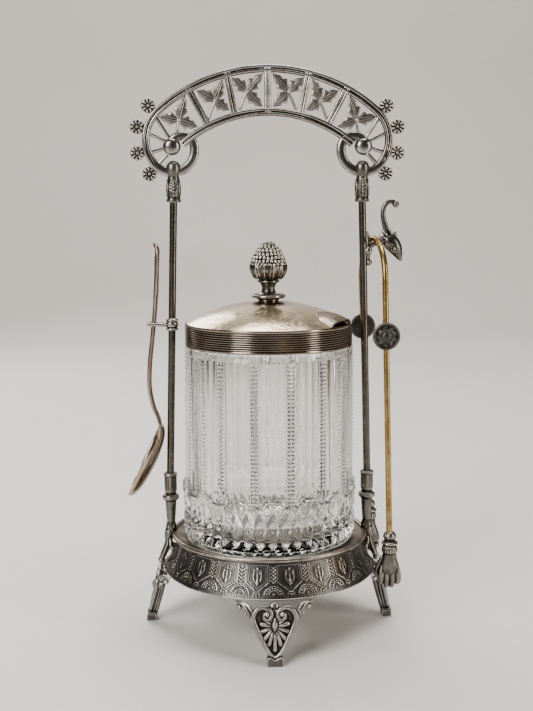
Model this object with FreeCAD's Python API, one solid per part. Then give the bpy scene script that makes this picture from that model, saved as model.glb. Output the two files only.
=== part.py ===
import FreeCAD, Part
import math
import os

# Pickle castor: a pressed-glass jar with a lid in a footed frame with an arched handle,
# with a pair of tongs on a hook and a spoon in a fork. Sizes are in millimetres and degrees.
# The origin is on the table under the jar's axis, +Z is up, +X points to the tongs and -Y to the front.

V = FreeCAD.Vector
UP = V(0, 0, 1)

# Clearances
fit_gap = 0.05          # between a plug and its socket
solder_gap = 0.15       # between pieces that solder joins
rest_gap = 0.3          # between a hung piece and what it hangs on
hinge_gap = 0.14        # between the tongs' bow and each arm

# Dish and skirt
sheet = 0.9             # wall of the spun and stamped metal
seat_z = 44.5           # top of the dish's flat, on which the jar stands
seat_r = 41.0
rim_r = 49.0            # middle of the rolled rim
rim_z = 46.4
rim_bead_r = 1.2
skirt_top_r = 46.8
skirt_bottom_r = 54.0
skirt_bottom_z = 28.9
skirt_hollow = 0.6      # how far the skirt's side is hollowed
skirt_bead_r = 0.6

# Legs
foot_r = 61.4           # from the axis to the middle of a foot
foot_wide = 7.7
foot_deep = 4.9
foot_high = 4.4
leg_lean = 14.5         # from the vertical
leg_thick = 2.6
leg_shoulder = 11.5     # half the plate's width under its volutes
leg_volute_r = 4.2
leg_arm_reach = 17.6    # from the leg's middle line to an arm's tip
leg_arm_r = 1.1
leg_ball_r = 1.5
palmette_long = 15.0
palmette_wide = 13.2
palmette_proud = 1.2
tongue_wide = 8.0       # strap behind the leg, inside the skirt
tongue_thick = 1.4

# Uprights and posts
stem_x = 50.6           # the stems' axes, left and right
stem_low_z = 46.0
swell_r = 2.6
swell_top_z = 51.7
stem_r = 2.1
stem_top_r = 2.85
ring_z = 65.1
ring_tube_r = 1.55
ring_r = 2.75
collar_r = 3.2
collar_low_z = 66.4
collar_top_z = 77.8
socket_deep = 6.0
post_r = 1.85
post_top_x = 47.0
ferrule_low_z = 215.0
ferrule_top_z = 227.3
ferrule_r = 3.3
ferrule_ball_r = 3.6

# Handle: the arch lies in the plane between front and back
arch_r = 83.3           # outer edge of the outer rail
arch_top_z = 281.8
bend_r = 21.0           # outer edge of the bend at each end
bend_start = 49.0       # direction from the arch's centre in which the bend starts
bend_end = -35.0        # direction from the bend's centre in which the ring starts
loop_r = 13.0           # outer edge of the ring at each end
loop_end = 175.0
volute_r = 8.0
volute_end = -30.0
rail_wide = 3.4
rail_deep = 3.4
rail_ridge = 1.0        # width of the ridge along each edge of a rail
web_deep = 2.2
inner_rail_r = 63.1     # lower edge of the inner rail
inner_rail_low_z = 257.3
inner_rail_end = 51.0
knob_x = 47.4
knob_z = 242.3
knob_r = 3.6
bar_wide = 3.2
spoke_r = 0.65
leaf_deep = 1.3
leaf_boss_r = 0.9
rosette_r = 3.5
rosette_deep = 2.4
rosette_angles = (42.7, 15.2, -15.2)
last_rosette_angle = -47.0

# Hook on the right post
hook_z = 191.8          # height of the hook's root
neck_x = 52.9           # where the tongs hang
neck_top_z = 195.0
neck_r = 1.05
head_r = 3.7
beak_x = 66.9
beak_z = 185.5
crest_r = 0.95
crest_top_z = 215.6
crest_tip_x = 64.0
curl_r = 1.4

# Glass jar
jar_r = 42.2
jar_base_r = 44.0
jar_wall = 3.6
jar_floor = 5.5
jar_shoulder_z = 143.8  # where the lid's band rests
jar_scallop_z = 73.8
jar_scallop_rise = 3.8
jar_mouth_r = 40.2
jar_mouth_z = 149.5
columns = 15            # beaded columns round the jar
column_wide = 5.6
column_proud = 0.5

# Lid
band_top_z = 155.1
band_r = 41.7
band_rib_r = 0.62
band_ribs = 7
dome_top_z = 166.0
dome_r = 41.5
hood_azimuth = -29.0    # from +X, towards the front
hood_wide = 11.5
hood_long = 13.0
hood_rise = 4.6
finial_disc_r = 8.6
finial_disc_high = 3.6
finial_neck_r = 3.6
finial_neck_high = 5.8
bulb_r = 9.1
finial_top_z = 196.0
stud_r = 1.5
nut_flat = 6.0
nut_high = 2.4

# Tongs
tong_r = 1.5
bow_span = 20.4         # half the distance between the arms, below the bow
bow_high = 21.0
arm_top_x = 56.0        # front arm, at the foot of the bow
rear_arm_top_x = 49.6
disc_z = 150.0
disc_r = 6.75
disc_thick = 1.6
claw_top_z = 47.0
claw_x = 58.3
claw_y = -29.0
rear_claw_x = 56.2
rear_claw_y = 30.0
claw_long = 23.4
claw_wide = 13.0
claw_deep = 8.4
bow_turn = 35.0         # from the bow's top to each end of its middle piece

# Spoon
bowl_long = 41.0
bowl_wide = 25.0
bowl_deep = 6.4
bowl_wall = 0.9
fork_z = 154.3
prong_r = 0.95
prong_gap = 2.55        # from the middle to a prong's near side
prong_tip_x = 60.6
fork_collar_r = 3.1
fork_collar_high = 6.0


def export(name, shape):
    shape.exportStep("parts/" + name + ".step")


def arc_point(cx, cz, r, degrees):
    """A point on a circle in the plane between front and back."""
    a = math.radians(degrees)
    return V(cx + r * math.cos(a), 0, cz + r * math.sin(a))


def arc_edge(cx, cz, r, start, end):
    middle = (start + end) / 2
    ends = arc_point(cx, cz, r, start), arc_point(cx, cz, r, middle), arc_point(cx, cz, r, end)
    return Part.Arc(*ends).toShape()


def line(p, q):
    return Part.LineSegment(p, q).toShape()


def smooth(points):
    """One smooth curve through the points."""
    curve = Part.BSplineCurve()
    curve.interpolate(points)
    return curve.toShape()


def outline(*steps):
    """A closed face in the XZ plane. A step is a corner (x, z), or several of them for one smooth
    curve from the corner before through each of them to the last."""
    start = V(steps[0][0], 0, steps[0][1])
    here = start
    edges = []
    for step in steps[1:]:
        if isinstance(step[0], tuple):
            points = [V(x, 0, z) for x, z in step]
            end = points[-1]
            edges.append(smooth([here] + points))
        else:
            end = V(step[0], 0, step[1])
            edges.append(line(here, end))
        here = end
    if (here - start).Length > 1e-6:
        edges.append(line(here, start))
    return Part.Face(Part.Wire(edges))


def turned(*steps):
    """A body turned about the Z axis from an outline of (radius, height) steps."""
    return outline(*steps).revolve(V(0, 0, 0), UP, 360)


def turned_along(base, direction, *steps):
    """A turned body whose axis starts at base and points in direction."""
    shape = turned(*steps)
    shape.Placement = FreeCAD.Placement(base, FreeCAD.Rotation(UP, direction))
    return shape


def slab(face, depth):
    """A plate of that face, with half its depth on each side of the XZ plane."""
    placed = face.copy()
    placed.translate(V(0, -depth / 2, 0))
    return placed.extrude(V(0, depth, 0))


def ball(centre, r):
    return Part.makeSphere(r, centre)


def rod(p, q, r):
    return Part.makeCylinder(r, (q - p).Length, p, q - p)


def strut(points, r):
    """A bent round bar through the points, with round ends."""
    path = smooth(points) if len(points) > 2 else line(*points)
    start = path.tangentAt(path.FirstParameter)
    section = Part.Wire(Part.makeCircle(r, points[0], start))
    body = Part.Wire(path).makePipeShell([section], True, True)
    return body.fuse([ball(points[0], r), ball(points[-1], r)])


def bar(p, q, wide, deep):
    """A straight bar in the XZ plane from p to q."""
    along = (q - p).normalize()
    side = V(-along.z, 0, along.x) * (wide / 2)
    corners = [p + side, q + side, q - side, p - side]
    face = Part.Face(Part.makePolygon(corners + corners[:1]))
    return slab(face, deep)


def mirrored_x(shape):
    return shape.mirror(V(0, 0, 0), V(1, 0, 0))


def mirrored_y(shape):
    return shape.mirror(V(0, 0, 0), V(0, 1, 0))


def turned_by(shape, degrees):
    return shape.rotated(V(0, 0, 0), UP, degrees)


def post_x(z):
    """Where a post's axis is at a height, on the right."""
    share = (z - collar_top_z) / (ferrule_low_z - collar_top_z)
    return stem_x + (post_top_x - stem_x) * share


# The dish rises from its flat to the rim
def dish_top_z(r):
    return seat_z + (rim_z - seat_z) * (r - seat_r) / (rim_r - seat_r)


def jar_dish():
    inner = rim_r - rim_bead_r * 0.5
    body = turned(
        (0, seat_z - sheet),
        (seat_r, seat_z - sheet),
        (inner, dish_top_z(inner) - sheet),
        (inner, dish_top_z(inner)),
        (seat_r, seat_z),
        (0, seat_z),
    )
    body = body.fuse(Part.makeTorus(rim_r, rim_bead_r, V(0, 0, rim_z)))
    for side in (1, -1):
        half = swell_r + solder_gap
        notch = Part.makeBox(2 * half, 2 * half, 4 * rim_bead_r)
        notch.translate(V(side * stem_x - half, -half, rim_z - 2 * rim_bead_r))
        body = body.cut(notch)
    return body


def skirt_top_z():
    return dish_top_z(skirt_top_r - sheet) - sheet - solder_gap


def skirt_profile(offset):
    """Top, middle and bottom of the skirt's side, moved inwards by offset."""
    top = (skirt_top_r - offset, skirt_top_z())
    bottom = (skirt_bottom_r - offset, skirt_bottom_z)
    middle_r = (skirt_top_r + skirt_bottom_r) / 2 - skirt_hollow - offset
    middle = (middle_r, (top[1] + bottom[1]) / 2 - skirt_hollow / 2)
    return top, middle, bottom


def skirt():
    top, middle, bottom = skirt_profile(0)
    top_in, middle_in, bottom_in = skirt_profile(sheet)
    body = turned(top, (middle, bottom), bottom_in, (middle_in, top_in), top)
    bead_z = skirt_bottom_z + skirt_bead_r / 2
    return body.fuse(Part.makeTorus(skirt_bottom_r - skirt_bead_r / 2, skirt_bead_r, V(0, 0, bead_z)))


# A leg is drawn upright at the front, in its own plane, and then leaned inwards
def palmette(low):
    """A leaf of seven round lobes that fan out from a heart under the volutes."""
    heart = V(0, 0, low + palmette_long * 0.55)
    points = [V(0, 0, low)]
    lobes = 7
    for k in range(lobes):
        for share, reach in ((0.0, 0.62), (0.25, 0.92), (0.5, 1.0), (0.75, 0.92)):
            turn = math.radians(-52 + 284 * (k + share) / lobes)
            x = reach * palmette_wide / 2 * math.cos(turn)
            points.append(heart + V(x, 0, reach * palmette_long * 0.45 * math.sin(turn)))
    body = slab(Part.Face(Part.makePolygon(points + points[:1])), palmette_proud)
    bud = turned((0, 0), (1.7, 0), (1.0, palmette_proud), (0, palmette_proud))
    bud.rotate(V(0, 0, 0), V(1, 0, 0), 90)
    bud.translate(heart)
    return body.fuse(bud)


def leg_plate():
    high = (skirt_bottom_z - foot_high) + 2
    half = [(1.6, 0), (3.6, 2.2), (6.2, 6.8), (8.9, 12.2), (leg_shoulder, 18.6)]
    top = high - 2 * leg_volute_r
    right = half + [(leg_shoulder - 0.6, top)]
    left = [(-x, z) for x, z in reversed(right)]
    plate = slab(outline(*right, *left), leg_thick)
    for side in (1, -1):
        volute = Part.makeCylinder(leg_volute_r, leg_thick + 0.8, V(0, 0, 0), V(0, 1, 0))
        volute.translate(V(side * 5.2, -leg_thick / 2 - 0.4, top))
        plate = plate.fuse(volute)
    return plate


def leg(azimuth):
    plate = leg_plate()
    carved = palmette(3.6)
    carved.translate(V(0, -leg_thick / 2, 0))
    plate = plate.fuse(carved)
    plate.rotate(V(0, 0, 0), V(1, 0, 0), -leg_lean)
    plate.translate(V(0, -foot_r, foot_high - 1.2))
    foot = Part.makeBox(foot_wide, foot_deep, foot_high, V(-foot_wide / 2, -foot_r - foot_deep / 2, 0))
    foot = foot.makeChamfer(0.7, [e for e in foot.Edges if min(v.Z for v in e.Vertexes) > foot_high / 2])
    body = plate.fuse(foot)
    arm_y = -math.sqrt(skirt_bottom_r ** 2 - leg_arm_reach ** 2) + leg_arm_r
    arm_top_z = skirt_bottom_z - leg_arm_r - solder_gap
    shoulder_z = skirt_bottom_z - 7.5
    lean = math.tan(math.radians(leg_lean))
    shoulder_y = -foot_r + (shoulder_z - foot_high) * lean
    for side in (1, -1):
        shoulder = V(side * (leg_shoulder - 1.2), shoulder_y, shoulder_z)
        crook = V(side * (leg_arm_reach - 3.4), (shoulder_y + arm_y) / 2 + 0.4, arm_top_z - 1.0)
        tip = V(side * leg_arm_reach, arm_y, arm_top_z)
        body = body.fuse(strut([shoulder, crook, tip], leg_arm_r))
        curl = V(side * (leg_arm_reach - 1.6), arm_y - 0.4, arm_top_z - leg_ball_r - 0.6)
        body = body.fuse(ball(curl, leg_ball_r))
    body = body.fuse(leg_tongue())
    return turned_by(body.removeSplitter(), azimuth)


def leg_tongue():
    """The strap that runs from the leg's back up the inside of the skirt."""
    top, middle, bottom = skirt_profile(sheet + 0.5)
    lean = math.tan(math.radians(leg_lean))
    low_z = skirt_bottom_z - 7.0
    low = foot_r - (low_z - foot_high) * lean
    mid = (top[0] + bottom[0]) / 2
    mid_z = (top[1] + bottom[1]) / 2
    strap = outline(
        (low, low_z),
        (bottom[0] - 0.6, bottom[1] - 0.8),
        (mid - skirt_hollow, mid_z),
        (mid - skirt_hollow - tongue_thick, mid_z),
        (bottom[0] - 0.6 - 1.5 * tongue_thick, bottom[1] - 1.6),
        (low - 1.5 * tongue_thick, low_z),
    )
    return turned_by(slab(strap, tongue_wide), -90)


def stem():
    """The turned upper part of an upright, about the Z axis."""
    neck = ring_z - ring_tube_r
    body = turned(
        (0, stem_low_z),
        (swell_r - 0.5, stem_low_z),
        ((swell_r, (stem_low_z + swell_top_z) / 2), (stem_r, swell_top_z)),
        (stem_top_r, neck),
        (collar_r - 0.5, neck + 0.4),
        (collar_r - 0.5, collar_low_z),
        (collar_r, collar_low_z + 0.8),
        (collar_r, collar_top_z - 0.8),
        (collar_r - 0.4, collar_top_z),
        (0, collar_top_z),
    )
    return body.fuse(Part.makeTorus(ring_r, ring_tube_r, V(0, 0, ring_z)))


def post(side):
    low = V(post_x(collar_top_z - socket_deep), 0, collar_top_z - socket_deep)
    high = V(post_x(ferrule_low_z + socket_deep), 0, ferrule_low_z + socket_deep)
    body = rod(low, high, post_r)
    return body if side > 0 else mirrored_x(body)


def post_bore():
    """The socket that takes either end of the right post."""
    low = V(post_x(collar_top_z - socket_deep), 0, collar_top_z - socket_deep)
    high = V(post_x(ferrule_low_z + socket_deep), 0, ferrule_low_z + socket_deep)
    along = (high - low).normalize() * fit_gap
    return rod(low - along, high + along, post_r + fit_gap)


def upright(side):
    """A casting that lies over the skirt, with a scroll at its foot and the socket of a post at its top."""
    body = stem()
    body.translate(V(stem_x, 0, 0))
    top, middle, bottom = skirt_profile(-solder_gap - 0.1)
    flange = outline(
        (stem_x + swell_r - 0.5, stem_low_z + 1.6),
        ((stem_x + swell_r + 0.2, stem_low_z - 6), (bottom[0] + 1.9, skirt_bottom_z + 5)),
        (bottom[0] + 1.6, skirt_bottom_z + 1.2),
        (bottom[0] + 0.2, skirt_bottom_z + 1.0),
        ((middle[0] + 0.5, middle[1] + 0.3), (top[0] + 0.9, top[1] - 1.4)),
        (stem_x - swell_r + 0.6, stem_low_z + 0.6),
    )
    body = body.fuse(slab(flange, 4.6))
    for face in (1, -1):
        scroll = ball(V(stem_x - 0.9, face * 2.3, 39.4), 1.7)
        body = body.fuse(scroll)
    body = body.fuse(ball(V(bottom[0] + 1.7, 0, 31.9), 1.7))
    body = body.cut(post_bore()).removeSplitter()
    return body if side > 0 else mirrored_x(body)


def rail_steps():
    """Circles of the outer rail's outer edge on the right, from the top: centre, radius, start, end."""
    arch_z = arch_top_z - arch_r
    meet = arc_point(0, arch_z, arch_r, bend_start)
    bend = meet - V(math.cos(math.radians(bend_start)), 0, math.sin(math.radians(bend_start))) * bend_r
    loop = arc_point(bend.x, bend.z, bend_r - loop_r, bend_end)
    volute = arc_point(loop.x, loop.z, loop_r - volute_r, loop_end)
    return [
        (0, arch_z, arch_r, 90, bend_start),
        (bend.x, bend.z, bend_r, bend_start, bend_end),
        (loop.x, loop.z, loop_r, bend_end, loop_end - 360),
        (volute.x, volute.z, volute_r, loop_end - 360, volute_end - 360),
    ]


def band(steps, near, far, deep):
    """A strip along those circles, between two distances inside them."""
    outer = [arc_edge(x, z, r - near, a, b) for x, z, r, a, b in steps]
    inner = [arc_edge(x, z, r - far, a, b) for x, z, r, a, b in steps]
    first, last = steps[0], steps[-1]
    start = line(arc_point(*first[:2], first[2] - near, first[3]), arc_point(*first[:2], first[2] - far, first[3]))
    end = line(arc_point(*last[:2], last[2] - near, last[4]), arc_point(*last[:2], last[2] - far, last[4]))
    face = Part.Face(Part.Wire(outer + [end] + inner[::-1] + [start]))
    return slab(face, deep)


def rail(steps, near, far):
    """A rail with a ridge along each edge and a lower web between."""
    lap = 0.1
    return [
        band(steps, near, near + rail_ridge, rail_deep),
        band(steps, far - rail_ridge, far, rail_deep),
        band(steps, near + rail_ridge - lap, far - rail_ridge + lap, web_deep),
    ]


def bar_ends():
    """Top and bottom of the radial bars on the right, from the outermost to the one in the middle."""
    return [
        (V(39.0, 0, 270.0), V(30.5, 0, 254.2)),
        (V(20.0, 0, 277.3), V(16.5, 0, 259.6)),
    ]


def spoke_ends():
    """Outer and inner ends of the spokes on the right."""
    return [
        (V(55.6, 0, 257.2), V(47.6, 0, 244.8)),
        (V(59.0, 0, 249.0), V(49.5, 0, 244.2)),
        (V(58.9, 0, 239.0), V(49.5, 0, 241.8)),
        (V(54.6, 0, 233.2), V(48.6, 0, 239.6)),
    ]


def handle_arch():
    steps = rail_steps()
    pieces = rail(steps, 0, rail_wide)
    inner = [(0, inner_rail_low_z - inner_rail_r, inner_rail_r + rail_wide, 90, inner_rail_end)]
    pieces += rail(inner, 0, rail_wide)
    knob = Part.makeCylinder(knob_r, rail_deep + 0.8, V(knob_x, -rail_deep / 2 - 0.4, knob_z), V(0, 1, 0))
    pieces.append(knob)
    for top, bottom in bar_ends():
        pieces.append(bar(top, bottom, bar_wide, web_deep + 0.4))
    for outer_end, inner_end in spoke_ends():
        pieces.append(bar(outer_end, inner_end, 2 * spoke_r, 2 * spoke_r))
    right = pieces[0].fuse(pieces[1:])
    top = V(0, 0, arch_top_z - rail_wide + 0.6)
    bottom = V(0, 0, inner_rail_low_z + rail_wide - 0.6)
    middle = bar(top, bottom, bar_wide, web_deep + 0.4)
    whole = right.fuse([mirrored_x(right), middle])
    return whole.removeSplitter()


def ferrule(side):
    """A sleeve round the post's top, with a ball head through which the handle's ring passes."""
    x = (post_x(ferrule_low_z) + post_x(ferrule_top_z)) / 2
    ring = rail_steps()[2]
    head_z = ring[1] - ring[2] + rail_wide / 2 + 0.6
    body = turned(
        (0, ferrule_low_z),
        (ferrule_r, ferrule_low_z),
        (ferrule_r + 0.2, ferrule_low_z + 1.2),
        (ferrule_r - 0.2, ferrule_low_z + 2.4),
        ((ferrule_r + 0.2, (ferrule_low_z + ferrule_top_z) / 2), (ferrule_r - 0.6, ferrule_top_z)),
        (ferrule_r - 1.0, head_z),
        (0, head_z),
    )
    body = body.fuse(ball(V(0, 0, head_z), ferrule_ball_r))
    body.translate(V(x, 0, 0))
    loop = Part.makeTorus(loop_r - rail_wide / 2, rail_wide / 2 + 0.75, V(ring[0], 0, ring[1]), V(0, 1, 0))
    body = body.cut(loop).cut(post_bore())
    solids = sorted(body.Solids, key=lambda solid: solid.Volume)
    body = solids[-1]
    return body if side > 0 else mirrored_x(body)


def leaf(base, tip, wide):
    """A lobed leaf from base to tip, in the XZ plane."""
    along = tip - base
    across = V(-along.z, 0, along.x).normalize() * (wide / 2)
    half = [(0.0, 0.0), (0.16, 0.34), (0.2, 0.95), (0.4, 0.62), (0.5, 1.0), (0.66, 0.52), (0.78, 0.5), (1.0, 0.0)]
    right = [base + along * s + across * w for s, w in half]
    left = [base + along * s - across * w for s, w in reversed(half[1:-1])]
    points = right + left
    return slab(Part.Face(Part.makePolygon(points + points[:1])), leaf_deep)


def spray_places():
    """Middle, three leaf tips and stem foot of each spray on the right, from the outermost."""
    return [
        ((43.9, 255.0), [(40.7, 266.2), (53.2, 256.6), (35.2, 251.9)], (44.6, 250.4)),
        ((26.0, 264.3), [(34.4, 269.0), (22.3, 274.0), (19.4, 260.2)], (29.1, 256.2)),
        ((10.4, 268.7), [(17.2, 275.0), (2.7, 276.9), (3.0, 261.9)], (13.6, 260.9)),
    ]


def spray(middle, tips, foot):
    centre = V(middle[0], 0, middle[1])
    stalk_end = V(foot[0], 0, foot[1])
    pieces = [bar(centre, stalk_end, 1.0, leaf_deep)]
    for x, z in tips:
        tip = V(x, 0, z)
        pieces.append(leaf(centre, tip, 4.6))
    boss = Part.makeCylinder(leaf_boss_r, leaf_deep + 0.5, centre - V(0, leaf_deep / 2 + 0.25, 0), V(0, 1, 0))
    pieces.append(boss)
    return pieces[0].fuse(pieces[1:])


def handle_leaves():
    sprays = []
    for middle, tips, foot in spray_places():
        body = spray(middle, tips, foot)
        sprays += [body, mirrored_x(body)]
    return Part.makeCompound(sprays)


def rosette(x, z):
    """A round boss with a raised edge and a middle button on both faces."""
    half = rosette_deep / 2
    rim = rosette_r - 0.9
    body = turned(
        (0, -half),
        (0.9, -half),
        (1.3, -half + 0.7),
        (rim - 0.4, -half + 0.7),
        (rim, -half + 0.1),
        (rosette_r, -half + 0.6),
        (rosette_r, half - 0.6),
        (rim, half - 0.1),
        (rim - 0.4, half - 0.7),
        (1.3, half - 0.7),
        (0.9, half),
        (0, half),
    )
    body.rotate(V(0, 0, 0), V(1, 0, 0), 90)
    body.translate(V(x, 0, z))
    return body


def handle_rosettes():
    steps = rail_steps()
    bend, loop = steps[1], steps[2]
    places = [arc_point(bend[0], bend[1], bend_r + rosette_r + solder_gap, a) for a in rosette_angles]
    places.append(arc_point(loop[0], loop[1], loop_r + rosette_r + solder_gap, last_rosette_angle))
    bosses = []
    for p in places:
        body = rosette(p.x, p.z)
        bosses += [body, mirrored_x(body)]
    return Part.makeCompound(bosses)


def tongs_hook():
    """A bird's head on a curved neck, with a tall crest that curls over at its top."""
    root_x = post_x(hook_z - 7) + post_r + solder_gap
    web = outline(
        (root_x, hook_z + 7.6),
        ((root_x + 0.8, hook_z + 4.6), (neck_x - 1.0, neck_top_z - 0.1)),
        (neck_x - 1.0, neck_top_z - 2 * neck_r + 0.1),
        ((root_x + 1.5, hook_z - 1.6), (root_x, hook_z - 6.8)),
    )
    body = slab(web, 1.8)
    body = body.fuse(ball(V(root_x + 1.0, 0, hook_z - 6.2), 1.0))
    low = neck_top_z - neck_r
    head_start = V(57.4, 0, 196.0)
    body = body.fuse(strut([V(neck_x - 1.6, 0, low - 0.2), V(neck_x + 1.6, 0, low), head_start], neck_r))
    beak = V(beak_x, 0, beak_z) - head_start
    long = beak.Length
    head = turned_along(
        head_start, beak,
        (0, -1.2),
        ((head_r * 0.75, long * 0.1), (head_r, long * 0.36), (1.8, long * 0.66), (0.6, long)),
        (0, long),
    )
    body = body.fuse(head)
    crest = strut([
        V(60.6, 0, 197.6),
        V(58.6, 0, 203.0),
        V(57.9, 0, 208.6),
        V(58.7, 0, 212.6),
        V(60.8, 0, crest_top_z - 0.4),
        V(crest_tip_x - 0.6, 0, crest_top_z - 0.6),
    ], crest_r)
    body = body.fuse([crest, ball(V(crest_tip_x, 0, crest_top_z - 1.6), curl_r)])
    return body


def spoon_bracket():
    """A collar round the left post with two prongs that point outwards."""
    x = post_x(fork_z)
    low = V(post_x(fork_z - fork_collar_high / 2), 0, fork_z - fork_collar_high / 2)
    high = V(post_x(fork_z + fork_collar_high / 2), 0, fork_z + fork_collar_high / 2)
    collar = rod(low, high, fork_collar_r)
    collar = collar.makeChamfer(0.6, [e for e in collar.Edges if e.Curve.TypeId == "Part::GeomCircle"])
    y = prong_gap + prong_r
    for face in (1, -1):
        root = V(x + 1.2, face * 1.8, fork_z)
        bend = V(x + fork_collar_r + 1.6, face * y, fork_z)
        tip = V(prong_tip_x - 1.0, face * y, fork_z + 0.4)
        collar = collar.fuse(strut([root, bend, tip], prong_r))
        collar = collar.fuse(ball(tip, prong_r + 0.4))
    return mirrored_x(collar.cut(post_bore()))


def jar_cavity():
    inner = jar_r - jar_wall
    floor = seat_z + jar_floor
    return turned(
        (0, floor),
        (inner - 4, floor),
        ((inner - 1.2, floor + 1.2), (inner, floor + 4)),
        (inner, jar_shoulder_z - 4),
        (jar_mouth_r - 2.2, jar_shoulder_z),
        (jar_mouth_r - 2.2, jar_mouth_z + 1),
        (0, jar_mouth_z + 1),
    )


def jar_outside():
    low = seat_z
    band_z = jar_scallop_z - jar_scallop_rise
    return turned(
        (0, low + 1.2),
        (30, low + 1.2),
        (31.5, low),
        (38.5, low),
        ((jar_base_r - 1.7, low + 2.2), (jar_base_r, low + 6.5)),
        (jar_base_r, band_z),
        (jar_r, band_z + 0.8),
        (jar_r, jar_shoulder_z - 3.9),
        (jar_r + 0.3, jar_shoulder_z - 3.5),
        (jar_r + 0.3, jar_shoulder_z - 0.5),
        (jar_r - 0.2, jar_shoulder_z),
        (jar_mouth_r, jar_shoulder_z),
        (jar_mouth_r, jar_mouth_z - 0.6),
        (jar_mouth_r - 0.6, jar_mouth_z),
        (0, jar_mouth_z),
    )


def scallops():
    """The arched top edge of the jar's base band, one arch between two columns."""
    half = math.pi * jar_base_r / columns
    r = (half ** 2 + jar_scallop_rise ** 2) / (2 * jar_scallop_rise)
    low = jar_scallop_z - jar_scallop_rise
    ring = turned((jar_r - 0.5, low - 0.4), (jar_base_r, low - 0.4), (jar_base_r, jar_scallop_z), (jar_r - 0.5, jar_scallop_z))
    arches = []
    for k in range(columns):
        arch = rod(V(0, -jar_r + 2, jar_scallop_z - r), V(0, -jar_base_r - 1, jar_scallop_z - r), r)
        arches.append(turned_by(arch, 360 / columns * k))
    return [ring.common(arch) for arch in arches]


def glass_jar():
    body = jar_outside()
    ribs = []
    for k in range(columns):
        rib = Part.makeBox(column_wide, 3, jar_shoulder_z - jar_scallop_z - 3.4)
        rib.translate(V(-column_wide / 2, -jar_r - column_proud, jar_scallop_z - jar_scallop_rise + 0.4))
        ribs.append(turned_by(rib, 360 / columns * (k + 0.5)))
    body = body.fuse(scallops() + ribs)
    return body.cut(jar_cavity()).removeSplitter()


def lid_band():
    low = jar_shoulder_z
    high = band_top_z
    pitch = (high - low - 2.0) / band_ribs
    steps = [(jar_mouth_r + rest_gap, low), (band_r + 0.3, low), (band_r + 0.3, low + 1.0)]
    for k in range(band_ribs):
        z = low + 1.0 + pitch * k
        steps += [(band_r - 0.1, z + pitch * 0.1), (band_r + band_rib_r, z + pitch / 2), (band_r - 0.1, z + pitch * 0.9)]
    steps += [(band_r + 0.3, high - 1.0), (band_r + 0.3, high), (jar_mouth_r + rest_gap, high)]
    return turned(*steps)


def dome_arc(offset):
    """Edge, middle and top of the dome's outside, moved down by offset."""
    rise = dome_top_z - band_top_z
    r = (dome_r ** 2 + rise ** 2) / (2 * rise)
    middle = dome_r * 0.55
    return (
        (dome_r, band_top_z - offset),
        (middle, dome_top_z - r + math.sqrt(r ** 2 - middle ** 2) - offset),
        (0, dome_top_z - offset),
    )


def hood_shape(grow):
    """The hood's outside, or its inside when grow is negative: half an egg over the notch."""
    body = Part.makeSphere(1)
    stretch = FreeCAD.Matrix()
    stretch.scale(V(hood_long + grow, hood_wide + grow, hood_rise + grow))
    body = body.transformGeometry(stretch)
    body.translate(V(dome_r, 0, band_top_z))
    return turned_by(body, hood_azimuth)


def dome_body():
    edge, middle, top = dome_arc(0)
    return turned((0, 0), (dome_r, 0), edge, (middle, top))


def lid_dome():
    edge, middle, top = dome_arc(0)
    middle_in, top_in = dome_arc(sheet)[1:]
    low_in = (dome_r - 2 * sheet, band_top_z)
    body = turned(edge, (middle, top), top_in, (middle_in, low_in))
    hole = rod(V(0, 0, dome_top_z - 5), V(0, 0, dome_top_z + 5), stud_r + fit_gap)
    return body.cut([hole, hood_shape(-sheet / 2)])


def spoon_hood():
    """The pressed hood over the spoon notch, with its rolled front edge."""
    shell = hood_shape(sheet / 2).cut(hood_shape(-sheet / 2))
    inside = Part.makeCylinder(dome_r - 0.2, 30, V(0, 0, band_top_z + solder_gap))
    shell = shell.common(inside)
    below = dome_body()
    below.translate(V(0, 0, solder_gap))
    shell = shell.cut(below)
    solids = sorted(shell.Solids, key=lambda solid: solid.Volume)
    return solids[-1]


def finial_base():
    low = dome_top_z
    high = low + finial_disc_high
    r = finial_disc_r
    body = turned(
        (stud_r + fit_gap, low),
        (r * 0.62, low),
        (r * 0.66, low + 0.9),
        (r - 0.7, low + 1.1),
        ((r, low + 2.1), (r - 0.7, high - 0.4)),
        (r * 0.55, high - 0.2),
        (finial_neck_r + 1.2, high),
        (stud_r + fit_gap, high),
    )
    return body


def finial():
    """A berry over a ring of leaves on a waisted neck, with the stud that holds it to the lid."""
    low = dome_top_z + finial_disc_high
    neck = low + finial_neck_high
    widest = neck + 7.4
    return turned(
        (0, dome_top_z - sheet - nut_high - 1.2),
        (stud_r, dome_top_z - sheet - nut_high - 1.2),
        (stud_r, low),
        (finial_neck_r + 1.0, low),
        ((finial_neck_r, (low + neck) / 2), (finial_neck_r + 0.9, neck)),
        ((bulb_r - 1.6, neck + 2.8), (bulb_r, widest)),
        ((bulb_r * 0.72, widest + 7.0), (0, finial_top_z)),
    )


def finial_nut():
    """A hexagon nut under the dome."""
    corners = []
    for k in range(6):
        a = math.radians(60 * k)
        corners.append(V(nut_flat / math.sqrt(3) * math.cos(a), nut_flat / math.sqrt(3) * math.sin(a), 0))
    face = Part.Face(Part.makePolygon(corners + corners[:1]))
    face.translate(V(0, 0, dome_top_z - sheet - nut_high - solder_gap))
    body = face.extrude(V(0, 0, nut_high))
    hole = rod(V(0, 0, dome_top_z - 10), V(0, 0, dome_top_z), stud_r + fit_gap)
    return body.cut(hole)


# The tongs hang by the inside of their bow, in a plane that is turned a little about the upright direction
def bow_top():
    return V(neck_x, 0, neck_top_z + rest_gap + tong_r)


def bow_end(face):
    x = arm_top_x if face < 0 else rear_arm_top_x
    return V(x, face * bow_span, bow_top().z - bow_high)


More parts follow.
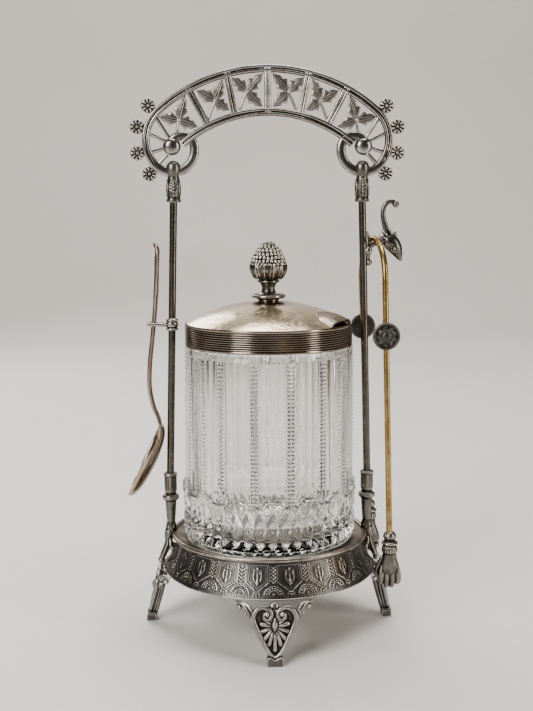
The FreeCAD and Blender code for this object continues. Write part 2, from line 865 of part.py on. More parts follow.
def bow_arc(start, end):
    """Part of the bow between two shares of the way from its front end to its rear end."""
    whole = Part.Arc(bow_end(-1), bow_top(), bow_end(1))
    first, last = whole.FirstParameter, whole.LastParameter
    curve = whole.Circle if hasattr(whole, "Circle") else whole
    a = first + (last - first) * start
    b = first + (last - first) * end
    return Part.Edge(curve, a, b)


def round_sweep(edge, r):
    start = edge.valueAt(edge.FirstParameter)
    along = edge.tangentAt(edge.FirstParameter)
    section = Part.Wire(Part.makeCircle(r, start, along))
    return Part.Wire(edge).makePipeShell([section], True, True)


bow_share = 0.5 - bow_turn / 180


def tongs_bow():
    return round_sweep(bow_arc(bow_share, 1 - bow_share), tong_r)


def claw_place(face):
    if face < 0:
        return V(claw_x, claw_y, claw_top_z)
    return V(rear_claw_x, rear_claw_y, claw_top_z)


def arm(face):
    """One side of the bow and the straight rod down to the claw."""
    whole = bow_arc(0, 1)
    gap = hinge_gap / whole.Length
    if face < 0:
        edge = bow_arc(0, bow_share - gap)
    else:
        edge = bow_arc(1 - bow_share + gap, 1)
    body = round_sweep(edge, tong_r)
    end = bow_end(face)
    foot = claw_place(face)
    along = (foot - end).normalize()
    body = body.fuse([ball(end, tong_r), rod(end, foot + along * 1.0, tong_r)])
    return body.removeSplitter()


def arm_point(face, z):
    """Where an arm's axis is at a height."""
    high = bow_end(face)
    low = claw_place(face)
    return high + (low - high) * ((high.z - z) / (high.z - low.z))


def disc(face):
    """A round finger plate on the outside of an arm."""
    at = arm_point(face, disc_z)
    start = at + V(0, face * (tong_r - 0.9), 0)
    plate = Part.makeCylinder(disc_r, disc_thick, start, V(0, face, 0))
    rim = Part.makeTorus(disc_r - 0.6, 0.55, start + V(0, face * disc_thick, 0), V(0, face, 0))
    boss = Part.makeCylinder(1.6, 0.5, start + V(0, face * disc_thick, 0), V(0, face, 0))
    body = plate.fuse([rim, boss])
    groove = rod(arm_point(face, disc_z + 2 * disc_r), arm_point(face, disc_z - 2 * disc_r), tong_r + fit_gap)
    return body.cut(groove)


def claw(face):
    """A small hand that hangs open towards the other arm: a cuff, a palm, four fingers and a thumb."""
    cuff = turned(
        (0, 7.2),
        ((2.3, 7.2), (3.3, 4.9)),
        ((2.9, 3.2), (2.5, 2.4)),
        (3.5, 1.6),
        ((4.1, 0.9), (3.5, 0.2)),
        (3.2, 0),
        (3.6, -3.2),
        (3.3, -3.8),
        (0, -3.8),
    )
    sections = []
    places = ((-3.4, 3.4, 3.0), (-8.0, 4.6, 3.6), (-13.0, 6.2, 4.2), (-17.0, 6.0, 3.8))
    for z, half_x, half_y in places:
        ellipse = Part.Ellipse(V(0, 0, 0), half_x, half_y)
        wire = Part.Wire(ellipse.toShape())
        wire.translate(V(0, -face * (z + 3.4) * 0.02, z))
        sections.append(wire)
    palm = Part.makeLoft(sections, True, False)
    pieces = [palm]
    for k in range(4):
        x = -4.3 + 2.87 * k
        drop = 1.0 if k in (1, 2) else 0.0
        knuckle = V(x, 0.6 * face, -15.4)
        tip = V(x * 0.94, -1.6 * face, -20.0 - drop)
        pieces.append(strut([knuckle, tip], 1.55))
    pieces.append(strut([V(-4.6, 0, -11.0), V(-6.3, -2.0 * face, -15.6)], 1.35))
    body = cuff.fuse(pieces)
    body.translate(claw_place(face))
    return body.cut(rod(arm_point(face, claw_top_z + 12), arm_point(face, claw_top_z - 1.1), tong_r + fit_gap))


def spoon_stations():
    """Middle, width and thickness of the stem from its tip down to the bowl."""
    return [
        ((-56.9, 195.2), 3.0, 1.2),
        ((-55.4, 192.0), 6.4, 1.7),
        ((-55.9, 184.0), 7.4, 1.9),
        ((-56.2, 172.0), 6.6, 1.9),
        ((-57.2, 160.0), 5.2, 1.9),
        ((-58.6, 147.2), 4.2, 1.9),
        ((-60.1, 134.0), 3.6, 2.0),
        ((-60.4, 122.0), 3.6, 2.0),
        ((-58.6, 112.4), 4.0, 2.0),
        ((-55.4, 103.6), 5.2, 1.8),
    ]


def spoon_stem():
    stations = spoon_stations()
    wires = []
    for k, (place, wide, thick) in enumerate(stations):
        before = stations[max(k - 1, 0)][0]
        after = stations[min(k + 1, len(stations) - 1)][0]
        along = V(after[0] - before[0], 0, after[1] - before[1]).normalize()
        ellipse = Part.Wire(Part.Ellipse(V(0, 0, 0), wide / 2, thick / 2).toShape())
        ellipse.Placement = FreeCAD.Placement(V(0, 0, 0), FreeCAD.Rotation(V(0, 1, 0), along.cross(V(0, 1, 0)), along, "ZXY"))
        ellipse.translate(V(place[0], 0, place[1]))
        wires.append(ellipse)
    return Part.makeLoft(wires, True, False)


def bowl_egg(grow):
    body = Part.makeSphere(1)
    stretch = FreeCAD.Matrix()
    stretch.scale(V(bowl_deep + grow, bowl_wide / 2 + grow, bowl_long / 2 + grow))
    return body.transformGeometry(stretch)


def spoon_bowl():
    """Half an egg shell, open outwards, from the end of the stem down."""
    start = V(-55.5, 0, 103.9)
    end = V(-72.6, 0, 66.5)
    along = (end - start).normalize()
    shell = bowl_egg(0).cut(bowl_egg(-bowl_wall))
    half = Part.makeBox(2 * bowl_deep, 2 * bowl_wide, 2 * bowl_long, V(0, -bowl_wide, -bowl_long))
    shell = shell.common(half)
    tilt = math.degrees(math.atan2(-along.x, -along.z))
    shell.rotate(V(0, 0, 0), V(0, 1, 0), tilt)
    shell.translate((start + end) * 0.5)
    return shell


def spoon():
    return spoon_stem().fuse(spoon_bowl()).removeSplitter()


def main():
    os.makedirs("parts", exist_ok=True)
    export("jar_dish", jar_dish())
    export("skirt", skirt())
    for name, azimuth in (("front", 0), ("right", 90), ("back", 180), ("left", 270)):
        export(name + "_leg", leg(azimuth))
    export("handle_arch", handle_arch())
    export("handle_leaves", handle_leaves())
    export("handle_rosettes", handle_rosettes())
    for name, side in (("right", 1), ("left", -1)):
        export(name + "_upright", upright(side))
        export(name + "_post", post(side))
        export(name + "_ferrule", ferrule(side))
    export("tongs_hook", tongs_hook())
    export("spoon_bracket", spoon_bracket())
    export("glass_jar", glass_jar())
    export("lid_band", lid_band())
    export("lid_dome", lid_dome())
    export("spoon_hood", spoon_hood())
    export("finial_base", finial_base())
    export("finial", finial())
    export("finial_nut", finial_nut())
    export("tongs_bow", tongs_bow())
    for name, face in (("front", -1), ("rear", 1)):
        export(name + "_arm", arm(face))
        export(name + "_disc", disc(face))
        export(name + "_claw", claw(face))
    export("spoon", spoon())


main()
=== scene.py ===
import math

import bmesh
import bpy
import numpy as np
from mathutils import Matrix, Vector


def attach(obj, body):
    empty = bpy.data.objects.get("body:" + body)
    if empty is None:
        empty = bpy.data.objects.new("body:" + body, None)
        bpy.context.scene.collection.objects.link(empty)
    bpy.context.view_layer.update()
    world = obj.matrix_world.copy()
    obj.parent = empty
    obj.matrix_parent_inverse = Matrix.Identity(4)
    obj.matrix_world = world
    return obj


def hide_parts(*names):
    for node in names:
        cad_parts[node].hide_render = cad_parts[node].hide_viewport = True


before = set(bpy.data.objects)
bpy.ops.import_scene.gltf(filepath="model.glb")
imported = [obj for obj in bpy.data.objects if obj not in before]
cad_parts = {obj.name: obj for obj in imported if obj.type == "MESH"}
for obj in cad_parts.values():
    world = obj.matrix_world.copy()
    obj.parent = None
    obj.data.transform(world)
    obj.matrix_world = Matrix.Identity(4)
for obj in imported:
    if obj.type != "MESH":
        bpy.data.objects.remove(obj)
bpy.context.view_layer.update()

# Sizes are in millimetres here, as in the CAD, and meshes are written in metres
MM = 0.001
TURN = 2 * math.pi


# Arrays and meshes
def smoothstep(low, high, x):
    t = np.clip((x - low) / (high - low), 0, 1)
    return t * t * (3 - 2 * t)


def ridge(distance, wide):
    """A rounded line of that half width, 1 on its middle and 0 beyond its edge."""
    return smoothstep(wide, 0, np.abs(distance))


def bump(distance, radius):
    """A round boss of that radius."""
    return np.sqrt(np.clip(1 - (distance / radius) ** 2, 0, 1))


def grid_faces(nu, nv, wrap_u, wrap_v, start=0):
    u = np.arange(nu if wrap_u else nu - 1)
    v = np.arange(nv if wrap_v else nv - 1)
    a, b = np.meshgrid(u, v, indexing="ij")
    a2, b2 = (a + 1) % nu, (b + 1) % nv
    quads = np.stack([a * nv + b, a2 * nv + b, a2 * nv + b2, a * nv + b2], -1)
    return (quads.reshape(-1, 4) + start).tolist()


def pole_fans(n, m):
    """Faces that close the first and last row of a grid of n columns, with two points after the grid."""
    faces = []
    for k in range(n):
        after = (k + 1) % n
        faces.append([n * m, after * m, k * m])
        faces.append([n * m + 1, k * m + m - 1, after * m + m - 1])
    return faces


def end_fans(n, sides):
    """Faces that close the first and the last of n rings, with two points after the rings."""
    faces = []
    for k in range(sides):
        faces.append([n * sides, (k + 1) % sides, k])
        faces.append([n * sides + 1, (n - 1) * sides + k, (n - 1) * sides + (k + 1) % sides])
    return faces


def flat_ends(n, m):
    """One face across the first of n rings and one across the last."""
    return [list(range(m))[::-1], list(range((n - 1) * m, n * m))]


def merged(shapes):
    points, faces, start = [], [], 0
    for p, f in shapes:
        points.append(np.asarray(p, float))
        faces += [[i + start for i in face] for face in f]
        start += len(p)
    return np.vstack(points), faces


def moved(shape, matrix=None, by=(0, 0, 0)):
    points, faces = shape
    points = np.asarray(points, float)
    if matrix is not None:
        points = points @ np.asarray(matrix).T
    return points + np.asarray(by, float), faces


def turn_x(degrees):
    a = math.radians(degrees)
    return np.array([[1, 0, 0], [0, math.cos(a), -math.sin(a)], [0, math.sin(a), math.cos(a)]])


def mirror(shape):
    points, faces = shape
    return np.asarray(points) * np.array([-1, 1, 1]), [face[::-1] for face in faces]


def revolved(profile, count, relief=None):
    """A body turned about Z. The profile is a closed loop of (r, z), or goes from axis to axis.
    relief(angle, index, r, z) is how far a point moves along the profile's own normal."""
    profile = np.asarray(profile, float)
    pole = profile[0, 0] < 1e-9 and profile[-1, 0] < 1e-9
    ring = profile[1:-1] if pole else profile
    before = np.roll(profile, 1, axis=0)
    after = np.roll(profile, -1, axis=0)
    along = after - before
    along /= np.linalg.norm(along, axis=1)[:, None] + 1e-12
    normal = np.stack([along[:, 1], -along[:, 0]], 1)
    if pole:
        normal = normal[1:-1]
    angle = np.arange(count) * TURN / count
    a = angle[:, None] * np.ones(len(ring))
    r = ring[None, :, 0] + 0 * a
    z = ring[None, :, 1] + 0 * a
    if relief is not None:
        h = relief(a, np.arange(len(ring))[None, :] + 0 * a, r, z)
        r = r + h * normal[None, :, 0]
        z = z + h * normal[None, :, 1]
    points = np.stack([r * np.cos(a), r * np.sin(a), z], -1).reshape(-1, 3)
    faces = grid_faces(count, len(ring), True, not pole)
    if pole:
        points = np.vstack([points, [0, 0, profile[0, 1]], [0, 0, profile[-1, 1]]])
        faces += pole_fans(count, len(ring))
    return points, faces


def rounded(steps, per=8):
    """A profile through the steps: a pair is a corner, and a list of pairs is a smooth run."""
    out = []
    for step in steps:
        if isinstance(step, list):
            run = ([out[-1]] if out else []) + step
            out += [tuple(p) for p in smooth_path(run, per * (len(run) - 1))[1:]]
        else:
            out.append(tuple(step))
    return out


def smooth_path(points, count):
    """Points on one smooth curve through the given ones, evenly spread over its pieces."""
    p = np.asarray(points, float)
    p = np.vstack([2 * p[0] - p[1], p, 2 * p[-1] - p[-2]])
    last = len(p) - 3
    out = []
    for t in np.linspace(0, last - 1e-9, count + 1):
        k = int(t)
        u = t - k
        a, b, c, d = p[k], p[k + 1], p[k + 2], p[k + 3]
        out.append(0.5 * (2 * b + (c - a) * u + (2 * a - 5 * b + 4 * c - d) * u * u
                          + (3 * b - 3 * c + d - a) * u ** 3))
    return np.array(out)


def tube(points, radius, sides=20, count=None, flat=1.0, caps=True, side=(0, 1, 0)):
    """A round bar along a smooth curve. radius is one number or one a point.
    flat stretches the section along side, and caps rounds the ends."""
    p = np.asarray(points, float)
    r = np.full(len(p), radius, float) if np.isscalar(radius) else np.asarray(radius, float)
    if count:
        path = smooth_path(np.column_stack([p, r]), count)
        p, r = path[:, :3], np.maximum(path[:, 3], 0.02)
    t = np.gradient(p, axis=0)
    t /= np.linalg.norm(t, axis=1)[:, None] + 1e-12
    s = np.asarray(side, float)
    e1 = s - (t @ s)[:, None] * t
    e1 /= np.linalg.norm(e1, axis=1)[:, None] + 1e-12
    e2 = np.cross(t, e1)
    if caps:
        steps = np.linspace(0.12, 1, 5)
        head = [(p[0] - t[0] * r[0] * math.sqrt(max(1 - q * q, 0)), q) for q in steps[:-1]]
        tail = [(p[-1] + t[-1] * r[-1] * math.sqrt(max(1 - q * q, 0)), q) for q in steps[:-1]][::-1]
        p = np.vstack([[h[0] for h in head], p, [h[0] for h in tail]])
        e1 = np.vstack([np.repeat(e1[:1], 4, 0), e1, np.repeat(e1[-1:], 4, 0)])
        e2 = np.vstack([np.repeat(e2[:1], 4, 0), e2, np.repeat(e2[-1:], 4, 0)])
        r = np.concatenate([[h[1] * r[0] for h in head], r, [h[1] * r[-1] for h in tail]])
    a = np.arange(sides) * TURN / sides
    ring = (p[:, None, :] + r[:, None, None] * (flat * np.cos(a)[None, :, None] * e1[:, None, :]
                                                + np.sin(a)[None, :, None] * e2[:, None, :]))
    n = len(p)
    faces = grid_faces(n, sides, False, True)
    points = ring.reshape(-1, 3)
    points = np.vstack([points, p[0], p[-1]])
    return points, faces + end_fans(n, sides)


def ball(centre, radius, count=20, stretch=(1, 1, 1)):
    profile = [(radius * math.sin(a), -radius * math.cos(a)) for a in np.linspace(0, math.pi,
            count // 2 + 1)]
    profile[0] = (0, -radius)
    profile[-1] = (0, radius)
    points, faces = revolved(profile, count)
    return points * np.asarray(stretch) + np.asarray(centre, float), faces


def swept(path, normals, section):
    """A bar whose section (sideways, deep) follows a path in XZ; section is one or one a point."""
    path = np.asarray(path, float)
    normals = np.asarray(normals, float)
    section = np.asarray(section, float)
    if section.ndim == 2:
        section = np.repeat(section[None], len(path), 0)
    x = path[:, None, 0] + section[:, :, 0] * normals[:, None, 0]
    z = path[:, None, 1] + section[:, :, 0] * normals[:, None, 1]
    points = np.stack([x, section[:, :, 1], z], -1)
    n, m = points.shape[:2]
    return points.reshape(-1, 3), grid_faces(n, m, False, True) + flat_ends(n, m)


def prism(outline, low, high):
    """A plate of an outline in XZ between two depths."""
    n = len(outline)
    points = [(x, low, z) for x, z in outline] + [(x, high, z) for x, z in outline]
    faces = [list(range(n)), list(range(2 * n - 1, n - 1, -1))]
    faces += [[(k + 1) % n, k, k + n, (k + 1) % n + n] for k in range(n)]
    return np.array(points, float), faces


def wear_of(mesh, strength):
    """How far each point stands out of its neighbours, from 0 in hollows to 1 on edges."""
    spread, soften, full = 3, 2, 0.00006
    n = len(mesh.vertices)
    co = np.empty(n * 3)
    mesh.vertices.foreach_get("co", co)
    co = co.reshape(-1, 3)
    no = np.empty(n * 3)
    mesh.vertices.foreach_get("normal", no)
    no = no.reshape(-1, 3)
    e = np.empty(len(mesh.edges) * 2, int)
    mesh.edges.foreach_get("vertices", e)
    e = e.reshape(-1, 2)
    count = np.bincount(e.ravel(), minlength=n).astype(float)
    count[count == 0] = 1

    def mean(values):
        total = np.zeros_like(values)
        for c in range(values.shape[1]):
            total[:, c] = (np.bincount(e[:, 0], values[e[:, 1], c], n)
                           + np.bincount(e[:, 1], values[e[:, 0], c], n))
        return total / count[:, None]

    around = co
    for _ in range(spread):
        around = mean(around)
    out = ((co - around) * no).sum(1)[:, None]
    for _ in range(soften):
        out = 0.5 * out + 0.5 * mean(out)
    return np.clip(0.5 + 0.5 * strength * out[:, 0] / full, 0, 1)


def mesh_piece(name, shape, finish, body, nodes, remesh=None, relax=2, wear=1.0, sharp=None,
               painted_shade_on_sides=False):
    """One piece on a body in place of CAD nodes. remesh is the voxel size of a cast piece, whose parts it
    joins. The side flag paints shade on the sides: it takes most of the wear colour off what doesn't face
    the front or the back."""
    points, faces = shape
    mesh = bpy.data.meshes.new(name)
    mesh.from_pydata((np.asarray(points) * MM).tolist(), [], faces)
    mesh.update()
    bm = bmesh.new()
    bm.from_mesh(mesh)
    if not remesh:
        bmesh.ops.remove_doubles(bm, verts=bm.verts, dist=1e-8)
        bmesh.ops.dissolve_degenerate(bm, edges=bm.edges, dist=1e-9)
    bmesh.ops.recalc_face_normals(bm, faces=bm.faces)
    bm.to_mesh(mesh)
    bm.free()
    obj = bpy.data.objects.new(name, mesh)
    bpy.context.scene.collection.objects.link(obj)
    if remesh:
        cast = obj.modifiers.new("cast", "REMESH")
        cast.mode = "VOXEL"
        cast.voxel_size = remesh * MM
        soft = obj.modifiers.new("soften", "SMOOTH")
        soft.factor = 0.5
        soft.iterations = relax
        graph = bpy.context.evaluated_depsgraph_get()
        final = bpy.data.meshes.new_from_object(obj.evaluated_get(graph))
        obj.modifiers.clear()
        obj.data = final
        final.name = name
        bpy.data.meshes.remove(mesh)
        mesh = final
    if wear is not None:
        values = wear_of(mesh, strength=wear)
        # Painted shade: what faces sideways rather than front or back is darkened by taking most of its
        # wear colour away.
        if painted_shade_on_sides:
            normals = np.empty(len(mesh.vertices) * 3)
            mesh.vertices.foreach_get("normal", normals)
            facing = np.abs(normals.reshape(-1, 3)[:, 1])
            values = values * (0.15 + 0.85 * smoothstep(0.15, 0.75, facing))
        layer = mesh.attributes.new("wear", "FLOAT", "POINT")
        layer.data.foreach_set("value", values)
    mesh.polygons.foreach_set("use_smooth", [True] * len(mesh.polygons))
    if sharp:
        mesh.set_sharp_from_angle(angle=math.radians(sharp))
    mesh.materials.clear()
    mesh.materials.append(finish)
    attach(obj, body)
    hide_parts(*nodes)
    return obj


# Materials
def new_material(name):
    material = bpy.data.materials.new(name)
    material.use_nodes = True
    tree = material.node_tree
    shader = tree.nodes["Principled BSDF"]
    return material, tree, shader


def node(tree, kind, **values):
    n = tree.nodes.new(kind)
    for key, value in values.items():
        if hasattr(n, key) and not key[0].isupper():
            setattr(n, key, value)
        else:
            n.inputs[key.replace("_", " ")].default_value = value
    return n


def noise(tree, place, scale, detail=4.0, rough=0.55):
    n = node(tree, "ShaderNodeTexNoise", Scale=scale, Detail=detail, Roughness=rough)
    tree.links.new(place, n.inputs["Vector"])
    return n.outputs["Fac"]


def ramp(tree, fac, stops):
    n = tree.nodes.new("ShaderNodeValToRGB")
    e = n.color_ramp.elements
    e[0].position, e[0].color = stops[0][0], (*stops[0][1], 1)
    e[1].position, e[1].color = stops[-1][0], (*stops[-1][1], 1)
    for at, colour in stops[1:-1]:
        extra = e.new(at)
        extra.color = (*colour, 1)
    tree.links.new(fac, n.inputs["Fac"])
    return n.outputs["Color"]


def mix(tree, fac, a, b, mode="MIX"):
    n = tree.nodes.new("ShaderNodeMix")
    n.data_type = "RGBA"
    n.blend_type = mode
    for socket, value in ((n.inputs[0], fac), (n.inputs[6], a), (n.inputs[7], b)):
        if isinstance(value, (int, float)):
            socket.default_value = value
        elif isinstance(value, tuple):
            socket.default_value = (*value, 1)
        else:
            tree.links.new(value, socket)
    return n.outputs[2]


def maths(tree, operation, a, b=0.0, clamp=False):
    n = tree.nodes.new("ShaderNodeMath")
    n.operation = operation
    n.use_clamp = clamp
    for socket, value in zip(n.inputs, (a, b)):
        if isinstance(value, (int, float)):
            socket.default_value = value
        else:
            tree.links.new(value, socket)
    return n.outputs[0]


def plate(name, hollow, body, bright, shine=0.22, dull=0.45, worn=True, tarnish=0.25, scratch=0.12,
          mottle=260.0, tint=None, edge=0.5):
    """Aged silver plate: dark in the hollows, worn bright on what stands out, with patches of tarnish."""
    material, tree, shader = new_material(name)
    place = tree.nodes.new("ShaderNodeTexCoord").outputs["Object"]
    patches = noise(tree, place, mottle, 5.0, 0.6)
    clouds = noise(tree, place, mottle * 0.22, 3.0, 0.5)
    fine = noise(tree, place, mottle * 9, 2.0, 0.5)
    if worn:
        # The wear attribute holds patina and wear, and on pieces built with the side flag also painted
        # shade on their sides.
        attribute = tree.nodes.new("ShaderNodeAttribute")
        attribute.attribute_name = "wear"
        height = attribute.outputs["Fac"]
    else:
        height = 0.5
    stained = maths(tree, "MULTIPLY", maths(tree, "SUBTRACT", patches, 0.5), tarnish)
    level = maths(tree, "ADD", height, stained)
    worn_a_little = tuple(0.55 * p + 0.45 * q for p, q in zip(body, bright))
    colour = ramp(tree, level, [(0.20, hollow), (0.47, body), (0.66, worn_a_little), (0.86, bright)])
    veil = ramp(tree, clouds, [(0.35, (0.70, 0.68, 0.66)), (0.62, (1, 1, 1))])
    colour = mix(tree, 0.6, colour, veil, "MULTIPLY")
    if tint:
        stain = ramp(tree, noise(tree, place, mottle * 0.35, 4.0, 0.6), [(0.48, (1, 1, 1)), (0.66, tint)])
        colour = mix(tree, 0.7, colour, stain, "MULTIPLY")
    tree.links.new(colour, shader.inputs["Base Color"])
    shader.inputs["Metallic"].default_value = 1.0
    shader.inputs["Specular Tint"].default_value = (edge, edge * 0.97, edge * 0.93, 1)
    rough = maths(tree, "MULTIPLY", maths(tree, "SUBTRACT", 1.0, level, True), dull - shine)
    rough = maths(tree, "ADD", rough, shine + 0.02)
    rough = maths(tree, "ADD", rough, maths(tree, "MULTIPLY", maths(tree, "SUBTRACT", fine, 0.5), 0.2),
            True)
    tree.links.new(rough, shader.inputs["Roughness"])
    relief = node(tree, "ShaderNodeBump", Strength=scratch, Distance=0.00012)
    grain = maths(tree, "ADD", fine, maths(tree, "MULTIPLY", patches, 1.2))
    tree.links.new(grain, relief.inputs["Height"])
    tree.links.new(relief.outputs["Normal"], shader.inputs["Normal"])
    return material


def engraved(name, dark, bright):
    """Polished plate with a light engraving of scrolls, in a warm colour with cloudy patches from dark to
    bright that are painted reflections.
    """
    material, tree, shader = new_material(name)
    place = tree.nodes.new("ShaderNodeTexCoord").outputs["Object"]
    sway = node(tree, "ShaderNodeTexNoise", Scale=70.0, Detail=2.0, Roughness=0.5)
    tree.links.new(place, sway.inputs["Vector"])
    bend = node(tree, "ShaderNodeVectorMath", operation="MULTIPLY")
    tree.links.new(sway.outputs["Color"], bend.inputs[0])
    bend.inputs[1].default_value = (0.02, 0.02, 0.0)
    bent = node(tree, "ShaderNodeVectorMath", operation="ADD")
    tree.links.new(place, bent.inputs[0])
    tree.links.new(bend.outputs[0], bent.inputs[1])
    scrolls = node(tree, "ShaderNodeTexWave", wave_type="RINGS", Scale=120.0, Distortion=7.0, Detail=2.0)
    scrolls.inputs["Detail Scale"].default_value = 1.4
    tree.links.new(bent.outputs[0], scrolls.inputs["Vector"])
    cut = ramp(tree, scrolls.outputs["Fac"], [(0.0, (0, 0, 0)), (0.10, (0.5, 0.5, 0.5)), (0.22, (1, 1, 1))])
    field = noise(tree, place, 62.0, 3.0, 0.55)
    where = ramp(tree, field, [(0.46, (0, 0, 0)), (0.60, (1, 1, 1))])
    lines = mix(tree, where, (1, 1, 1), cut)
    # Painted reflections: cloudy patches from dark to bright in the dome's colour.
    clouds = noise(tree, place, 40.0, 4.0, 0.6)
    base = ramp(tree, clouds, [(0.34, dark), (0.62, bright)])
    shade = mix(tree, 0.42, base, lines, "MULTIPLY")
    tree.links.new(shade, shader.inputs["Base Color"])
    shader.inputs["Metallic"].default_value = 1.0
    fine = noise(tree, place, 1900.0, 2.0, 0.5)
    rough = maths(tree, "ADD", 0.11, maths(tree, "MULTIPLY", fine, 0.16))
    tree.links.new(rough, shader.inputs["Roughness"])
    relief = node(tree, "ShaderNodeBump", Strength=0.4, Distance=0.00018)
    height = maths(tree, "ADD", lines, maths(tree, "MULTIPLY", fine, 0.35))
    height = maths(tree, "ADD", height, maths(tree, "MULTIPLY", noise(tree, place, 210.0, 3.0), 1.6))
    tree.links.new(height, relief.inputs["Height"])
    tree.links.new(relief.outputs["Normal"], shader.inputs["Normal"])
    return material


def pressed_glass(name):
    """Clear glass with faint warm and cool areas and a slightly uneven surface."""
    material, tree, shader = new_material(name)
    place = tree.nodes.new("ShaderNodeTexCoord").outputs["Object"]
    shader.inputs["Transmission Weight"].default_value = 1.0
    shader.inputs["IOR"].default_value = 1.5
    seeds = noise(tree, place, 320.0, 3.0, 0.5)
    colour = ramp(tree, noise(tree, place, 45.0, 2.0), [(0.3, (0.90, 0.92, 0.90)),
            (0.7, (0.97, 0.96, 0.94))])
    tree.links.new(colour, shader.inputs["Base Color"])
    tree.links.new(maths(tree, "MULTIPLY", seeds, 0.03), shader.inputs["Roughness"])
    relief = node(tree, "ShaderNodeBump", Strength=0.12, Distance=0.0002)
    tree.links.new(seeds, relief.inputs["Height"])
    tree.links.new(relief.outputs["Normal"], shader.inputs["Normal"])
    return material


DARK_PLATE = plate("dark_plate", (0.016, 0.015, 0.013), (0.085, 0.078, 0.068), (0.50, 0.47, 0.42),
                   0.20, 0.45)
STAMPED = plate("stamped_plate", (0.022, 0.023, 0.026), (0.075, 0.075, 0.078), (0.60, 0.57, 0.52),
                0.24, 0.46, mottle=150.0, tint=(0.80, 0.66, 0.50))
LEG_PLATE = plate("leg_plate", (0.016, 0.014, 0.013), (0.085, 0.080, 0.072), (0.72, 0.69, 0.65),
                  0.20, 0.45)
RAIL_PLATE = plate("rail_plate", (0.014, 0.012, 0.011), (0.105, 0.098, 0.088), (0.56, 0.55, 0.53),
                   0.16, 0.40, tint=(0.62, 0.48, 0.36), edge=0.35)
LEAF_PLATE = plate("leaf_plate", (0.016, 0.014, 0.013), (0.135, 0.125, 0.112), (0.52, 0.49, 0.45),
                   0.24, 0.5)
HOOK_PLATE = plate("hook_plate", (0.010, 0.009, 0.008), (0.045, 0.041, 0.037), (0.50, 0.48, 0.45),
                   0.16, 0.36, edge=0.3)
# Painted light: the dish's colour is made light to make up for the little light that reaches it under the
# glass.
LIGHTENED_DISH_PLATE = plate("dish_plate_painted_light", (0.14, 0.13, 0.115), (0.33, 0.30, 0.26), (0.70, 0.64, 0.56),
                  0.2, 0.38, worn=False, tarnish=0.9)
POST_PLATE = plate("post_plate", (0.04, 0.036, 0.032), (0.11, 0.100, 0.088), (0.26, 0.23, 0.20),
                   0.16, 0.3, worn=False, tarnish=0.5, mottle=120.0, tint=(0.80, 0.62, 0.45))
BAND_PLATE = plate("band_plate", (0.014, 0.012, 0.011), (0.030, 0.026, 0.022), (0.30, 0.26, 0.215),
                   0.10, 0.28, tint=(0.85, 0.66, 0.50))
DISC_PLATE = plate("disc_plate", (0.014, 0.013, 0.012), (0.055, 0.052, 0.048), (0.34, 0.33, 0.31),
                   0.26, 0.48)
HOOD_PLATE = plate("hood_plate", (0.16, 0.14, 0.11), (0.38, 0.33, 0.26), (0.75, 0.68, 0.57),
                   0.16, 0.34, worn=False)
FINIAL_PLATE = plate("finial_plate", (0.010, 0.009, 0.008), (0.10, 0.090, 0.076), (0.82, 0.77, 0.69),
                     0.15, 0.45)
SPOON_PLATE = plate("spoon_plate", (0.08, 0.055, 0.040), (0.30, 0.235, 0.175), (0.66, 0.60, 0.52),
                    0.12, 0.3, mottle=90.0, tint=(0.72, 0.48, 0.32))
BRASS = plate("gilt_brass", (0.14, 0.085, 0.022), (0.40, 0.27, 0.085), (0.74, 0.56, 0.25),
              0.16, 0.34, worn=False, tarnish=0.9, mottle=220.0, tint=(0.66, 0.52, 0.36), edge=0.6)
DOME = engraved("engraved_dome", (0.24, 0.18, 0.11), (0.80, 0.69, 0.49))
GLASS = pressed_glass("pressed_glass")


# Skirt, with the dish's sizes that it hangs from
SEAT_Z, SEAT_R, RIM_R, RIM_Z, SHEET = 44.5, 41.0, 49.0, 46.4, 0.9


